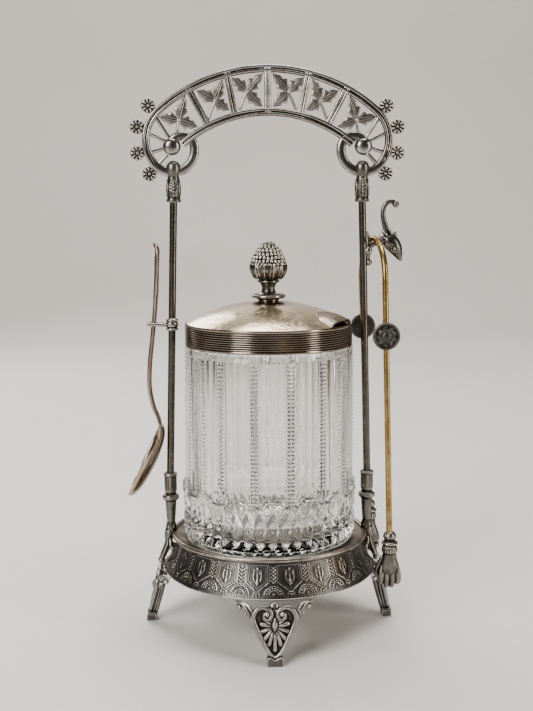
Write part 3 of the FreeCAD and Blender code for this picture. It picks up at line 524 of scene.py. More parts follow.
def skirt_relief(a, t, high):
    """Stamped panels: a pointed panel with a bud, and between two of them a column over a fan.
    a is the angle round, t runs from 0 at the top to 1 at the bottom, high is the length down the side."""
    repeats, half, depth = 20, 7.85, 0.30
    x = (((a * repeats / TURN) + 0.5) % 1 - 0.5) * 2 * half
    z = t * high
    ax = np.abs(x)
    px = half - ax
    h = 0.0 * x
    column = np.where(z < 9.2, 1.9, 1.9 + (z - 9.2) * 1.5)
    h += 0.95 * ridge(ax - column, 0.27) * (z > 0.7) * (z < 12.4)
    side = np.where(z < 9.4, 2.75, 2.75 + (z - 9.4) * 1.12)
    h += 0.95 * ridge(ax - side, 0.26) * (z > 1.1) * (z < 14.2)
    h += 0.75 * ridge(z - 1.1, 0.28) * (ax > 2.6)
    inner = np.where(z < 9.0, 3.55, 3.55 + (z - 9.0) * 1.3)
    h += 0.35 * ridge(ax - inner, 0.22) * (z > 2.0) * (z < 12.4)
    bud = np.sqrt((px / 0.72) ** 2 + ((z - 9.0) / 1.7) ** 2)
    h += 0.9 * smoothstep(1.15, 0.55, bud)
    leaf_x = px - 0.25 - 1.75 * np.sin(np.clip((10.2 - z) / 5.6, 0, 1) * 2.3)
    h += 0.85 * ridge(leaf_x, 0.30) * (z > 4.4) * (z < 10.2)
    h += 0.85 * ridge(np.hypot(px - 1.35, z - 4.3) - 0.75, 0.24) * (px > 0.75)
    h += 0.8 * ridge(px - 0.5 * np.clip((5.6 - z) / 3, 0, 1), 0.22) * (z > 2.4) * (z < 7.4)
    h += 0.8 * smoothstep(0.62, 0.30, np.hypot(px, z - 2.7))
    vine = np.abs(((z / 1.7 + 0.55 * ax) % 1) - 0.5)
    h += 0.8 * smoothstep(0.30, 0.08, vine) * (ax < 1.35) * (z > 1.6) * (z < 9.4)
    h += 0.4 * ridge(ax, 0.22) * (z > 1.6) * (z < 9.4)
    fan = np.hypot(x, z - 15.2)
    h += 0.9 * (ridge(fan - 2.3, 0.26) + ridge(fan - 4.3, 0.30)) * (z < 15.0)
    spin = np.arctan2(15.2 - z, x)
    dots = np.hypot(fan - 3.3, (((spin * 8 / math.pi) % 1) - 0.5) * 1.3)
    h += 0.9 * smoothstep(0.5, 0.1, dots) * (z < 15.0)
    h += 0.8 * smoothstep(1.3, 0.2, fan) * (z < 15.0)
    foot = np.hypot(px, z - 14.9)
    h += 0.8 * ridge(foot - 1.4, 0.28) * (z < 15.1) + 0.7 * smoothstep(0.8, 0.1, foot)
    stipple = np.sin(x * 9.0 + 3 * np.sin(z * 4)) * np.sin(z * 8.0 + 2 * np.sin(x * 5))
    h += 0.10 * stipple * (h < 0.2)
    edge = smoothstep(0.1, 0.6, z) * smoothstep(high - 0.1, high - 0.7, z)
    return depth * np.clip(h, -0.2, 1.15) * edge


def make_skirt():
    top_r, middle_r, bottom_r, bottom_z, solder_gap = 46.8, 49.8, 54.0, 28.9, 0.15
    slope = (RIM_Z - SEAT_Z) * (top_r - SHEET - SEAT_R) / (RIM_R - SEAT_R)
    top_z = SEAT_Z + slope - SHEET - solder_gap
    top, bottom = np.array([top_r, top_z]), np.array([bottom_r, bottom_z])
    middle = np.array([middle_r, (top_z + bottom_z) / 2 - 0.3])
    outer = smooth_path([top, middle, bottom], 150)
    inner = smooth_path([bottom - [SHEET, 0], middle - [SHEET, 0], top - [SHEET, 0]], 24)
    beads = [(53.7 + 0.6 * math.cos(b), 29.2 + 0.6 * math.sin(b)) for b in np.radians([20, -20, -60, -95,
            -130])]
    profile = np.vstack([outer, beads, inner])
    high = np.linalg.norm(np.diff(outer, axis=0), axis=1).sum()
    last = len(outer)

    def relief(a, k, r, z):
        t = np.clip(k / (last - 1), 0, 1)
        return np.where(k < last, skirt_relief(a, t, high), 0.0)

    shape = revolved(profile[::-1], 960, lambda a, k, r, z: relief(a, len(profile) - 1 - k, r, z))
    return mesh_piece("skirt_stamped", shape, STAMPED, "frame", ["skirt"], wear=0.8)


# Glass jar
JAR_R, BASE_R = 42.2, 44.0
BEAD_LOW_Z, BEAD_PITCH = 71.0, 1.9
REPEATS, REPEAT_DEGREES = 15, 24


def jar_columns():
    """Angles in one 24 degree repeat, from a scallop's crest, fine where beads are."""
    smooth = list(np.linspace(-8, 8, 21))
    beads = [8.35, 9.4, 9.4 + 0.32, 10.7, 11.68, 12.0, 12.32, 13.3, 14.28, 14.6, 15.65]
    extra = [9.05, 10.05, 11.35, 12.65, 13.95, 14.95]
    return sorted(smooth + beads + extra)


def jar_radius(a, z, in_base):
    """Outer radius of the jar, in its base band or above, at a height and an angle in degrees."""
    flute = np.abs(a) < 8
    third = (a + 8) / (16 / 3)
    rib = 0.95 * np.abs(np.sin(math.pi * third)) ** 0.7
    upper = JAR_R - 0.70 + np.where(flute, rib, 0)
    off = np.abs(a - 12)
    across = np.minimum(np.abs(off - 1.3) / 1.3, 1)
    up = np.abs(((z - BEAD_LOW_Z) / BEAD_PITCH) % 1 - 0.5) * 2
    head = np.clip(1.2 * (1 - np.maximum(across, up)), 0, 0.8)
    column = JAR_R - 0.75 + np.where(off < 2.6, 0.15 + 1.7 * head, 0.95 * ridge(off - 3.3, 0.75))
    upper = np.where(flute, upper, column)
    eighth = (a + 4) % 8 - 4
    wide = np.abs(eighth) / 4
    lower = BASE_R - 1.7 + 1.7 * (1 - wide ** 1.8)
    diamond = wide + np.abs(z - 60.0) / 3.4
    lower -= 1.6 * np.clip(1 - diamond, 0, 0.8)
    square = np.maximum(wide * 1.05, np.abs(z - 49.8) / 3.2)
    lower = np.where(z < 53.4, BASE_R - 1.6 + 1.9 * np.clip(1.15 * (1 - square), 0, 0.8), lower)
    fan = np.clip((z - 62.5) / 8.0, 0, 1)
    point = np.clip((wide - (1 - fan) ** 0.8) * 2.5, 0, 1)
    lower = np.where(z > 62.5, lower + (BASE_R - 0.1 - lower) * point, lower)
    return np.where(in_base, lower, upper)


def make_jar():
    angles = np.array(jar_columns())
    a = np.concatenate([angles + REPEAT_DEGREES * k for k in range(REPEATS)])
    local = np.tile(angles, REPEATS)
    crest_z = np.where(np.abs(local) < 8, 70.0 + 3.8 * (1 - (local / 8) ** 2), 70.0)
    rows = []

    def add_row(r, z):
        rows.append((r + 0 * local, z + 0 * local))

    under = [(0.0, 47.7), (12, 47.5), (22, 46.9), (28, 46.1), (31.2, 44.9), (33, 44.56), (37, 44.56), (39.6,
            44.66), (41.4, 45.1), (42.6, 45.8)]
    for r, z in under[1:]:
        add_row(r, z)
    base = [46.5, 46.9, 47.6, 48.4, 49.2, 49.8, 50.4, 51.2, 52.0, 52.7, 53.3, 53.5, 54.5, 55.5, 56.5, 57.2,
            58.0, 58.8, 59.5, 60.0, 60.5, 61.2, 62.0, 62.8, 63.6, 64.6, 65.6, 66.6, 67.6, 68.4]
    for z in base:
        ease = smoothstep(46.0, 48.5, np.array(z))
        r = jar_radius(local, np.full(len(a), z), True)
        add_row(r - (1 - ease) * 1.1, z)
    for share in (0.35, 0.7, 1.0):
        z = 68.4 + (crest_z - 0.5 - 68.4) * share
        add_row(jar_radius(local, z, True) + 0.12 * share, z)
    for r, rise in ((BASE_R + 0.45, -0.25), (BASE_R + 0.40, 0.10), (BASE_R - 0.10, 0.35), (JAR_R + 0.5,
            0.45)):
        add_row(r, crest_z + rise)
    add_row(jar_radius(local, crest_z + 0.6, False), crest_z + 0.7)
    count = int((139.6 - BEAD_LOW_Z) / BEAD_PITCH)
    for k in range(count):
        for share in (0.0, 0.18, 0.38, 0.62, 0.82):
            z0 = BEAD_LOW_Z + BEAD_PITCH * (k + share)
            z = crest_z + 0.75 + (z0 - 70.75) * (139.9 - crest_z - 0.75) / (139.9 - 70.75)
            add_row(jar_radius(local, np.full(len(a), z0), False), z)
    for r, z in ((None, 139.7), (42.5, 140.0), (42.62, 140.6), (42.62, 142.8), (42.5, 143.4), (42.1,
            143.75), (41.6, 143.8), (40.4, 143.8), (40.2, 144.0), (40.2, 148.9), (39.9, 149.35), (39.4,
            149.5), (38.5, 149.4), (38.0, 149.0), (38.0, 143.8), (38.4, 141.0), (38.6, 139.0), (38.6,
            110.0), (38.6, 80.0), (38.6, 56.5), (38.2, 54.2), (37.0, 52.3), (35.0, 51.0), (32.0, 50.3),
            (22.0, 50.0), (8.0, 50.0)):
        add_row(jar_radius(local, np.full(len(a), z), False) if r is None else r, z)
    r = np.stack([row[0] for row in rows], 1)
    z = np.stack([row[1] for row in rows], 1)
    turn = np.radians(a - 90)[:, None]
    points = np.stack([r * np.cos(turn), r * np.sin(turn), z], -1).reshape(-1, 3)
    n, m = r.shape
    faces = grid_faces(n, m, True, False)
    points = np.vstack([points, [0, 0, 47.7], [0, 0, 50.0]])
    faces += pole_fans(n, m)
    return mesh_piece("jar_pressed_glass", (points, faces), GLASS, "jar", ["glass_jar"],
            wear=None, sharp=24)


# Lid
def make_lid_band():
    low, high, count = 143.8, 155.1, 8
    outer = [(42.05, low), (42.25, low + 0.2), (42.25, low + 1.1), (42.0, low + 1.3)]
    pitch = (high - 1.5 - (low + 1.35)) / count
    for k in range(count):
        z0 = low + 1.35 + pitch * k
        for share in np.linspace(0.04, 0.96, 9):
            outer.append((41.66 + 0.60 * math.sin(math.pi * share) ** 0.8, z0 + pitch * share))
    outer += [(41.9, high - 1.45), (42.25, high - 1.25), (42.3, high - 0.4), (42.1, high - 0.05), (41.5,
            high)]
    inner = [(40.5, high), (40.5, (low + high) / 2), (40.5, low)]
    shape = revolved((outer + inner)[::-1], 240)
    return mesh_piece("lid_band_reeded", shape, BAND_PLATE, "lid", ["lid_band"], wear=0.9)


def make_finial():
    neck = 175.4
    profile = rounded([
        (0, 168.0), (4.6, 168.0), (4.6, 169.6),
        [(3.8, 170.2), (3.3, 171.6), (3.4, 173.0), (4.0, 174.2), (4.4, neck - 0.4)],
        (5.3, neck - 0.25), [(5.6, neck + 0.1), (5.5, neck + 0.6)], (4.9, neck + 0.9),
    ], 8)
    bulb = [(4.9, neck + 1.0), (7.2, neck + 2.6), (8.7, neck + 5.0), (9.1, neck + 7.4), (8.5, neck + 10.6),
            (7.0, neck + 14.0), (4.9, neck + 17.2), (2.6, neck + 19.3), (0.9, neck + 20.3)]
    upper = [tuple(p) for p in smooth_path(bulb, 170)]
    start = len(profile)
    profile = profile + upper + [(0, 196.0)]

    def relief(a, k, r, z):
        h = 0 * a
        lower = (z > neck + 1.0) & (z < neck + 9.6)
        count = 12
        share = np.clip((z - neck - 1.0) / 8.4, 0, 1)
        off = np.abs(((a * count / TURN) % 1) - 0.5) * 2
        half = np.sqrt(np.clip(1 - share ** 3.0, 0, 1))
        blade = np.clip(1 - off / np.maximum(half, 0.05), 0, 1)
        front = np.where(blade > 0, 0.25 + 0.55 * np.sqrt(blade), 0) + 0.25 * ridge(off, 0.14) * (blade > 0)
        turned = np.abs((((a * count / TURN) + 0.5) % 1) - 0.5) * 2
        half = np.sqrt(np.clip(1 - (share * 0.86) ** 3.0, 0, 1))
        behind = np.clip(1 - turned / np.maximum(half, 0.05), 0, 1)
        leaf = np.maximum(front, 0.4 * np.sqrt(behind))
        h = np.where(lower, leaf * smoothstep(0.0, 0.10, share) - 0.35, h)
        row_high = 1.72
        row = np.floor((z - neck - 8.0) / row_high)
        row_z = neck + 8.0 + (row + 0.5) * row_high
        row_r = np.interp(row_z, [p[1] for p in bulb], [p[0] for p in bulb])
        seeds = np.maximum(np.round(TURN * np.maximum(row_r, 0.8) / 2.05), 4)
        cell = a * seeds / TURN + 0.37 * row
        jog = 0.16 * np.sin(5.1 * np.floor(cell) + 2.3 * row)
        u = (cell % 1 - 0.5) * 1.95
        v = ((z - neck - 8.0) / row_high - row - 0.5 + jog) * row_high
        berry = bump(np.hypot(u, v), 0.98) * 0.95 - 0.45
        upper_part = z > neck + 8.6
        berry = berry * smoothstep(196.1, 194.6, z)
        h = np.where(upper_part, np.maximum(berry, np.where(lower, leaf * 0.9 - 0.35, -1)), h)
        return np.where(k >= start - 1, h, 0)

    shape = revolved(profile, 264, relief)
    return mesh_piece("finial_berry", shape, FINIAL_PLATE, "lid", ["finial"], wear=0.55)


def make_finial_base():
    low = 166.0
    profile = rounded([(1.6, low - 0.25), (5.0, low - 0.3), (5.3, low + 0.2),
            [(5.5, low + 0.8), (6.8, low + 1.2), (8.0, low + 1.3)], [(8.6, low + 2.0), (8.5, low + 2.8),
            (7.8, low + 3.2)], [(6.6, low + 3.1), (5.6, low + 3.3), (4.9, low + 3.6)], (1.6, low + 3.6)], 8)
    shape = revolved(profile, 128)
    return mesh_piece("finial_disc", shape, FINIAL_PLATE, "lid", ["finial_base"], wear=0.8)


def dome_z(r):
    """Height of the lid's dome at a radius."""
    band_top_z, sphere_r, dome_r = 155.1, 84.4, 41.5
    return band_top_z + math.sqrt(sphere_r ** 2 - r * r) - math.sqrt(sphere_r ** 2 - dome_r ** 2)


def make_hood():
    """A low eyelid over the lid's notch, with a rolled edge along its open front."""
    a = math.radians(-29.0)
    out = np.array([math.cos(a), math.sin(a), 0])
    side = np.array([-math.sin(a), math.cos(a), 0])
    skins = []
    n, m = 61, 25
    for drop in (0.0, 0.55):
        points = []
        for s in np.linspace(-1, 1, n):
            for t in np.linspace(0, 1, m):
                y = 11.3 * s
                r = math.sqrt(41.0 ** 2 - y * y) - 13.0 * t * math.sqrt(1 - 0.8 * s * s)
                lift = 2.7 * max(1 - s * s, 0) ** 0.6 * (1 - t ** 1.6) * (1 + 0.45 * t)
                z = dome_z(math.hypot(r, y)) + 0.15 + lift - drop
                points.append(out * r + side * y + np.array([0, 0, z]))
        skins.append(np.array(points))
    faces = grid_faces(n, m, False, False)
    faces += [f[::-1] for f in grid_faces(n, m, False, False, n * m)]
    border = [i * m for i in range(n)] + [(n - 1) * m + j for j in range(1, m)]
    border += [i * m + m - 1 for i in range(n - 2, -1, -1)] + list(range(m - 2, 0, -1))
    for p, q in zip(border, border[1:] + border[:1]):
        faces.append([q, p, p + n * m, q + n * m])
    shell = (np.vstack(skins), faces)
    front = skins[0][::m]
    edge = tube(front + np.array([0, 0, -0.1]), 0.5, 14)
    second = tube(front - out * 1.5 + np.array([0, 0, 0.15]), 0.28, 10)
    return mesh_piece("hood_rolled_edge", merged([shell, edge, second]), HOOD_PLATE, "lid", ["spoon_hood"],
                      wear=None)


# Handle and ferrules
ARCH_R, ARCH_TOP, BEND_R, LOOP_R, VOLUTE_R, RAIL = 83.3, 281.7, 21.0, 13.0, 8.0, 3.4


def circle_point(cx, cz, r, degrees):
    a = math.radians(degrees)
    return np.array([cx + r * math.cos(a), cz + r * math.sin(a)])


def handle_circles():
    """The right half's tangent circles from the top: x, z, radius and the angles that each runs between."""
    arch_z = ARCH_TOP - ARCH_R
    meet = circle_point(0, arch_z, ARCH_R, 49)
    bend = meet - circle_point(0, 0, BEND_R, 49)
    loop = circle_point(*bend, BEND_R - LOOP_R, -35)
    volute = circle_point(*loop, LOOP_R - VOLUTE_R, 175)
    return [(0, arch_z, ARCH_R, 90, 49), (*bend, BEND_R, 49, -35), (*loop, LOOP_R, -35, -185),
            (*volute, VOLUTE_R, -185, -390)]


def along_circles(circles, inset):
    """Points just inside the circles, their outward directions, and how far along the circles each is."""
    path, normals, which = [], [], []
    for k, (x, z, r, a, b) in enumerate(circles):
        count = max(int(abs(b - a) * math.pi / 180 * r / 0.7), 8)
        for t in np.linspace(0, 1, count, endpoint=(k == len(circles) - 1)):
            angle = a + (b - a) * t
            path.append(circle_point(x, z, r - inset, angle))
            normals.append(circle_point(0, 0, 1, angle))
            which.append(k + t)
    return np.array(path), np.array(normals), np.array(which)


def moulding(wide, deep, groove=1.0, steps=25):
    """Section of a rail: two ridges with a groove between on each face, or half round where groove is 0."""
    half, tall = wide / 2, deep / 2
    a = np.linspace(-1, 1, steps)
    double = 0.50 + 0.50 * np.sqrt(np.clip(1 - (np.abs(np.abs(a) - 0.52) / 0.48) ** 2, 0, 1))
    double = np.where(np.abs(a) < 0.14, np.minimum(double, 0.52), double)
    single = 0.25 + 0.75 * np.sqrt(np.clip(1 - a ** 2, 0, 1))
    level = (groove * double + (1 - groove) * single) * tall
    front = np.stack([a * half, -level], 1)
    back = np.stack([a[::-1] * half, level[::-1]], 1)
    return np.vstack([front, back])


def rail_shape(circles, inset, groove_of, wide_of, deep_of):
    path, normals, which = along_circles(circles, inset)
    sections = [moulding(wide_of(k), deep_of(k), groove_of(k)) for k in which]
    return swept(path, normals, sections)


def bar_shape(p, q, wide, deep, groove=1.0):
    p, q = np.array(p, float), np.array(q, float)
    along = (q - p) / np.linalg.norm(q - p)
    normal = np.array([-along[1], along[0]])
    path = [p + (q - p) * t for t in np.linspace(0, 1, 9)]
    return swept(path, [normal] * 9, moulding(wide, deep, groove))


def make_handle():
    circles = handle_circles()
    side = []

    def groove(k):
        return 1.0 if k < 1.6 else max(1.0 - (k - 1.6) / 0.5, 0.0)

    def wide(k):
        if k < 1.6:
            return RAIL + 0.35
        if k < 3.2:
            return RAIL + 0.35 + 0.75 * min((k - 1.6) / 0.6, 1)
        return RAIL + 1.1 - 0.6 * (k - 3.2)

    def deep(k):
        return RAIL if k < 3 else RAIL + 0.4 * (k - 3)

    side.append(rail_shape(circles, RAIL / 2 + 0.1, groove, wide, deep))
    side.append(rail_shape([(0, 257.3 - 63.1, 66.5, 90, 49.5)], RAIL / 2, lambda k: 1.0,
            lambda k: RAIL + 0.3, lambda k: RAIL + 0.5))
    knob = rounded([(0, -3.0), [(1.6, -2.8), (2.9, -2.3), (3.8, -1.5), (4.3, -0.5), (4.3, 0.5), (3.8, 1.5),
                   (2.9, 2.3), (1.6, 2.8), (0.3, 3.0)], (0, 3.0)], 5)
    side.append(moved(revolved(knob, 40), turn_x(90), (47.4, 0, 242.3)))
    for p, q in (((39.7, 271.4), (29.8, 253.0)), ((20.2, 278.6), (16.3, 258.6))):
        side.append(bar_shape(p, q, 3.4, 2.9))
    for p, q in (((55.6, 257.2), (47.6, 244.8)), ((59.0, 249.0), (49.5, 244.2)), ((58.9, 239.0),
            (49.5, 241.8)), ((54.6, 233.2), (48.6, 239.6))):
        p3, q3 = (p[0], 0, p[1]), (q[0], 0, q[1])
        side.append(tube([p3, q3], [1.0, 0.85], 14, 12))
    right = merged(side)
    middle = bar_shape((0, 280.2), (0, 258.6), 3.4, 2.9)
    shape = merged([right, mirror(right), middle])
    # The rails' sides get painted shade.
    return mesh_piece("handle_openwork_arch", shape, RAIL_PLATE, "frame", ["handle_arch"],
            wear=0.7, sharp=38, painted_shade_on_sides=True)


def leaf_shape(base, tip, wide, deep):
    """A lobed leaf with a domed blade, a sunk midrib and side veins, from base to tip in XZ."""
    base, tip = np.array(base, float), np.array(tip, float)
    along = tip - base
    long = np.linalg.norm(along)
    along = along / long
    across = np.array([-along[1], along[0]])
    s = np.linspace(0, 1, 57)
    knots = [0, 0.10, 0.18, 0.26, 0.34, 0.39, 0.44, 0.48, 0.55, 0.63, 0.72, 0.82, 0.91, 1.0]
    widths = [0.20, 0.28, 0.52, 0.84, 1.0, 0.90, 0.64, 0.56, 0.64, 0.60, 0.48, 0.32, 0.16, 0.02]
    half = np.interp(s, knots, widths) * wide / 2
    t = np.linspace(-1, 1, 25)
    S, T = np.meshgrid(s, t, indexing="ij")
    H = half[:, None] * T
    sweep = 0.13 * long * np.abs(T) ** 1.5 * smoothstep(0.05, 0.3, S) * (1 - smoothstep(0.50, 0.98, S))
    dome = np.sqrt(np.clip(1 - np.abs(T) ** 2.4, 0, 1))
    mid = ridge(H, 0.28) * smoothstep(0.0, 0.1, S) * smoothstep(1.0, 0.8, S)
    veins = np.abs((((S * long - 0.9 * np.abs(H)) / 1.25) % 1) - 0.5) * 2
    top = deep / 2 * (0.25 + 0.75 * dome * (0.55 + 0.45 * np.sin(math.pi * np.clip(S * 1.05, 0, 1)) ** 0.5))
    top = top - 0.30 * mid + 0.10 * ridge(np.abs(H) - 0.45, 0.25)
    top = top - 0.12 * smoothstep(0.55, 1.0, veins) * (np.abs(T) < 0.95)
    X = base[0] + along[0] * (S * long + sweep) + across[0] * H
    Z = base[1] + along[1] * (S * long + sweep) + across[1] * H
    front = np.stack([X, -top, Z], -1)
    back = np.stack([X, top, Z], -1)
    ring = np.concatenate([front, back[:, ::-1]], 1)
    n, m = ring.shape[:2]
    return ring.reshape(-1, 3), grid_faces(n, m, False, True) + flat_ends(n, m)


SPRAYS = [
    ((43.9, 255.0), [(40.7, 266.4), (53.4, 256.6), (34.9, 251.9)], (44.6, 250.2)),
    ((26.0, 264.3), [(34.6, 269.1), (22.2, 274.3), (19.2, 260.0)], (29.1, 256.0)),
    ((10.4, 268.7), [(17.3, 275.2), (2.6, 277.2), (2.9, 261.7)], (13.7, 260.7)),
]


def make_leaves():
    right = []
    for middle, tips, foot in SPRAYS:
        for tip in tips:
            start = np.array(middle) - 0.10 * (np.array(tip) - np.array(middle))
            far = np.array(middle) + 1.05 * (np.array(tip) - np.array(middle))
            right.append(leaf_shape(start, far, 7.0, 1.9))
        m3, f3 = (middle[0], 0, middle[1]), (foot[0], 0, foot[1])
        right.append(tube([m3, f3], [0.85, 0.8], 12, 8))
        right.append(ball(m3, 1.15, 16, (1, 1.0, 1)))
    right = merged(right)
    shape = merged([right, mirror(right)])
    # The leaves' sides get painted shade.
    return mesh_piece("handle_leaf_sprays", shape, LEAF_PLATE, "frame", ["handle_leaves"],
            wear=0.8, sharp=50, painted_shade_on_sides=True)


def rosette_shape(x, z, radius=3.65, deep=2.4):
    """A nine-petalled boss with a button in its middle, alike on both faces."""
    count, rings = 96, 26
    a = np.arange(count) * TURN / count
    q = np.linspace(0, 1, rings)[1:]
    A, Q = np.meshgrid(a, q, indexing="ij")
    petal = np.abs(np.cos(4.5 * A))
    edge = radius * (0.93 + 0.07 * petal ** 0.6)
    r = Q * edge
    button = bump(r, 1.0)
    middle = np.clip(1 - np.abs(Q - 0.64) / 0.36, 0, 1) ** 0.5
    height = 0.22 + 0.74 * middle * np.clip(1.5 * petal - 0.35, 0, 1) ** 0.6
    height = np.where(r < 1.05, np.maximum(0.22 + 0.85 * button, 0.22), height)
    height = np.where(Q > 0.93, 0.42, height)
    top = deep / 2 * np.clip(height, 0.12, 1.1)
    top[:, -1] = deep / 2 * 0.18
    front = np.stack([x + r * np.cos(A), -top, z + r * np.sin(A)], -1)
    back = np.stack([x + r * np.cos(A), top, z + r * np.sin(A)], -1)
    ring = np.concatenate([front, back[:, ::-1]], 1)
    n, m = ring.shape[:2]
    faces = grid_faces(n, m, True, False)
    points = np.vstack([ring.reshape(-1, 3), [x, -deep / 2 * 1.15, z], [x, deep / 2 * 1.15, z]])
    faces += pole_fans(n, m)
    return points, faces


def make_rosettes():
    circles = handle_circles()
    bend, loop = circles[1], circles[2]
    out = 3.3
    places = [circle_point(bend[0], bend[1], BEND_R + out, a) for a in (42.7, 15.2, -15.2)]
    places.append(circle_point(loop[0], loop[1], LOOP_R + out, -47))
    right = merged([rosette_shape(x, z) for x, z in places])
    shape = merged([right, mirror(right)])
    # The rosettes' sides get painted shade.
    return mesh_piece("handle_rosette_bosses", shape, LEAF_PLATE, "frame", ["handle_rosettes"],
            wear=0.7, sharp=50, painted_shade_on_sides=True)


STEM_X, POST_TOP_X, COLLAR_TOP_Z, FERRULE_LOW_Z = 50.6, 47.0, 77.8, 215.0


def post_x(z):
    """The middle of the right post at a height; the posts lean inwards."""
    return STEM_X + (POST_TOP_X - STEM_X) * (z - COLLAR_TOP_Z) / (FERRULE_LOW_Z - COLLAR_TOP_Z)


def make_ferrule(name, side, node_name):
    x = (post_x(FERRULE_LOW_Z) + post_x(227.3)) / 2
    profile = rounded([(0, 215.0), (3.3, 215.0), [(3.55, 215.5), (3.6, 216.2), (3.3, 217.0)], (3.15, 217.3),
            [(3.35, 220.0), (3.3, 223.0), (2.9, 226.0), (2.75, 227.6)], [(3.1, 228.6), (3.55, 230.2),
            (3.62, 231.8), (3.2, 233.6), (2.2, 234.8), (1.0, 235.3)], (0, 235.4)], 12)

    def relief(a, k, r, z):
        front = np.abs(((a + math.pi / 2) / (math.pi / 2) + 0.5) % 1 - 0.5) * (math.pi / 2) * 3.2
        t = (z - 217.6) / 9.0
        body = (t > 0) & (t < 1)
        half = 1.9 * np.sin(math.pi * np.clip(t, 0.02, 0.98)) ** 0.7
        rim = ridge(front - half, 0.34)
        vein = ridge(front, 0.22)
        barbs = ridge((((t * 9.0 - 0.8 * front) / 1.5) % 1 - 0.5), 0.22) * (front < half - 0.3)
        return np.where(body, 0.34 * np.maximum(np.maximum(rim, vein), 0.7 * barbs), 0)

    shape = moved(revolved(profile, 120, relief), by=(x, 0, 0))
    shape = shape if side > 0 else mirror(shape)
    return mesh_piece(name, shape, DARK_PLATE, "frame", [node_name], wear=0.7)


# Uprights
def make_upright(name, side, node_name):
    stem = rounded([(0, 45.2), [(1.6, 45.4), (2.2, 46.0), (2.6, 47.6), (2.62, 49.4), (2.3, 51.0),
            (2.1, 51.9)], [(2.25, 54.0), (2.6, 58.5), (2.85, 62.6)], (2.85, 63.4), [(3.6, 63.7),
            (4.2, 64.4), (4.32, 65.1), (4.2, 65.8), (3.6, 66.5)], (2.75, 66.8), [(2.7, 67.2), (2.9, 67.8),
            (3.2, 68.4)], (3.2, 72.0), (3.2, 75.6), [(3.25, 76.2), (3.5, 76.7), (3.5, 77.2), (3.2, 77.8)],
            (1.95, 77.8), (1.9, 77.0), (0, 77.0)], 7)

    def relief(a, k, r, z):
        swell = (z > 46.2) & (z < 51.4)
        leaf = np.abs(np.sin(a * 3)) * 3.0
        t = (z - 46.2) / 5.2
        tip = 2.2 * (1 - t)
        h = 0.30 * ridge(leaf - tip, 0.35) + 0.22 * ridge(leaf, 0.3)
        band = (z > 68.4) & (z < 75.8)
        net = np.maximum(ridge(((a * 6 / TURN + (z - 68) / 3.7) % 1) - 0.5, 0.10),
                         ridge(((a * 6 / TURN - (z - 68) / 3.7) % 1) - 0.5, 0.10))
        h2 = 0.26 * net + 0.20 * (ridge(z - 69.0, 0.3) + ridge(z - 75.2, 0.3))
        return np.where(swell, h, np.where(band, h2, 0))

    body = moved(revolved(stem, 72, relief), by=(STEM_X, 0, 0))
    strap = [(51.4, 0, 47.2), (51.9, 0, 44.6), (52.0, 0, 41.6), (53.2, 0, 38.2), (54.6, 0, 35.0), (55.6, 0,
            32.6)]
    pieces = [body]
    pieces.append(tube(strap, [2.5, 2.3, 2.0, 1.8, 1.7, 1.5], 20, 30, side=(0, 1, 0), flat=1.15))
    for face in (1, -1):
        curl = [(50.9, face * 1.2, 44.0), (51.0, face * 2.4, 42.2), (50.9, face * 3.3, 40.4),
                (50.3, face * 3.2, 39.0)]
        pieces.append(tube(curl, [1.0, 0.9, 0.8, 0.8], 14, 16))
        pieces.append(ball((49.9, face * 3.0, 38.6), 1.5, 20))
        edge = [(52.3, face * 1.9, 44.0), (52.6, face * 2.0, 41.0), (53.9, face * 1.8, 37.4),
                (55.3, face * 1.4, 34.0)]
        pieces.append(tube(edge, 0.55, 12, 18))
    pieces.append(ball((55.9, 0, 31.7), 1.75, 24, (1, 1.15, 1)))
    pieces.append(tube([(53.0, 0, 42.0), (54.3, 0, 38.5), (55.7, 0, 35.0)], [0.5, 0.75, 0.45], 12, 12))
    shape = merged(pieces)
    shape = shape if side > 0 else mirror(shape)
    return mesh_piece(name, shape, DARK_PLATE, "frame", [node_name], remesh=0.2, relax=1)


# Legs
LEG_LEAN, FOOT_R, FOOT_HIGH = 14.5, 61.4, 4.4


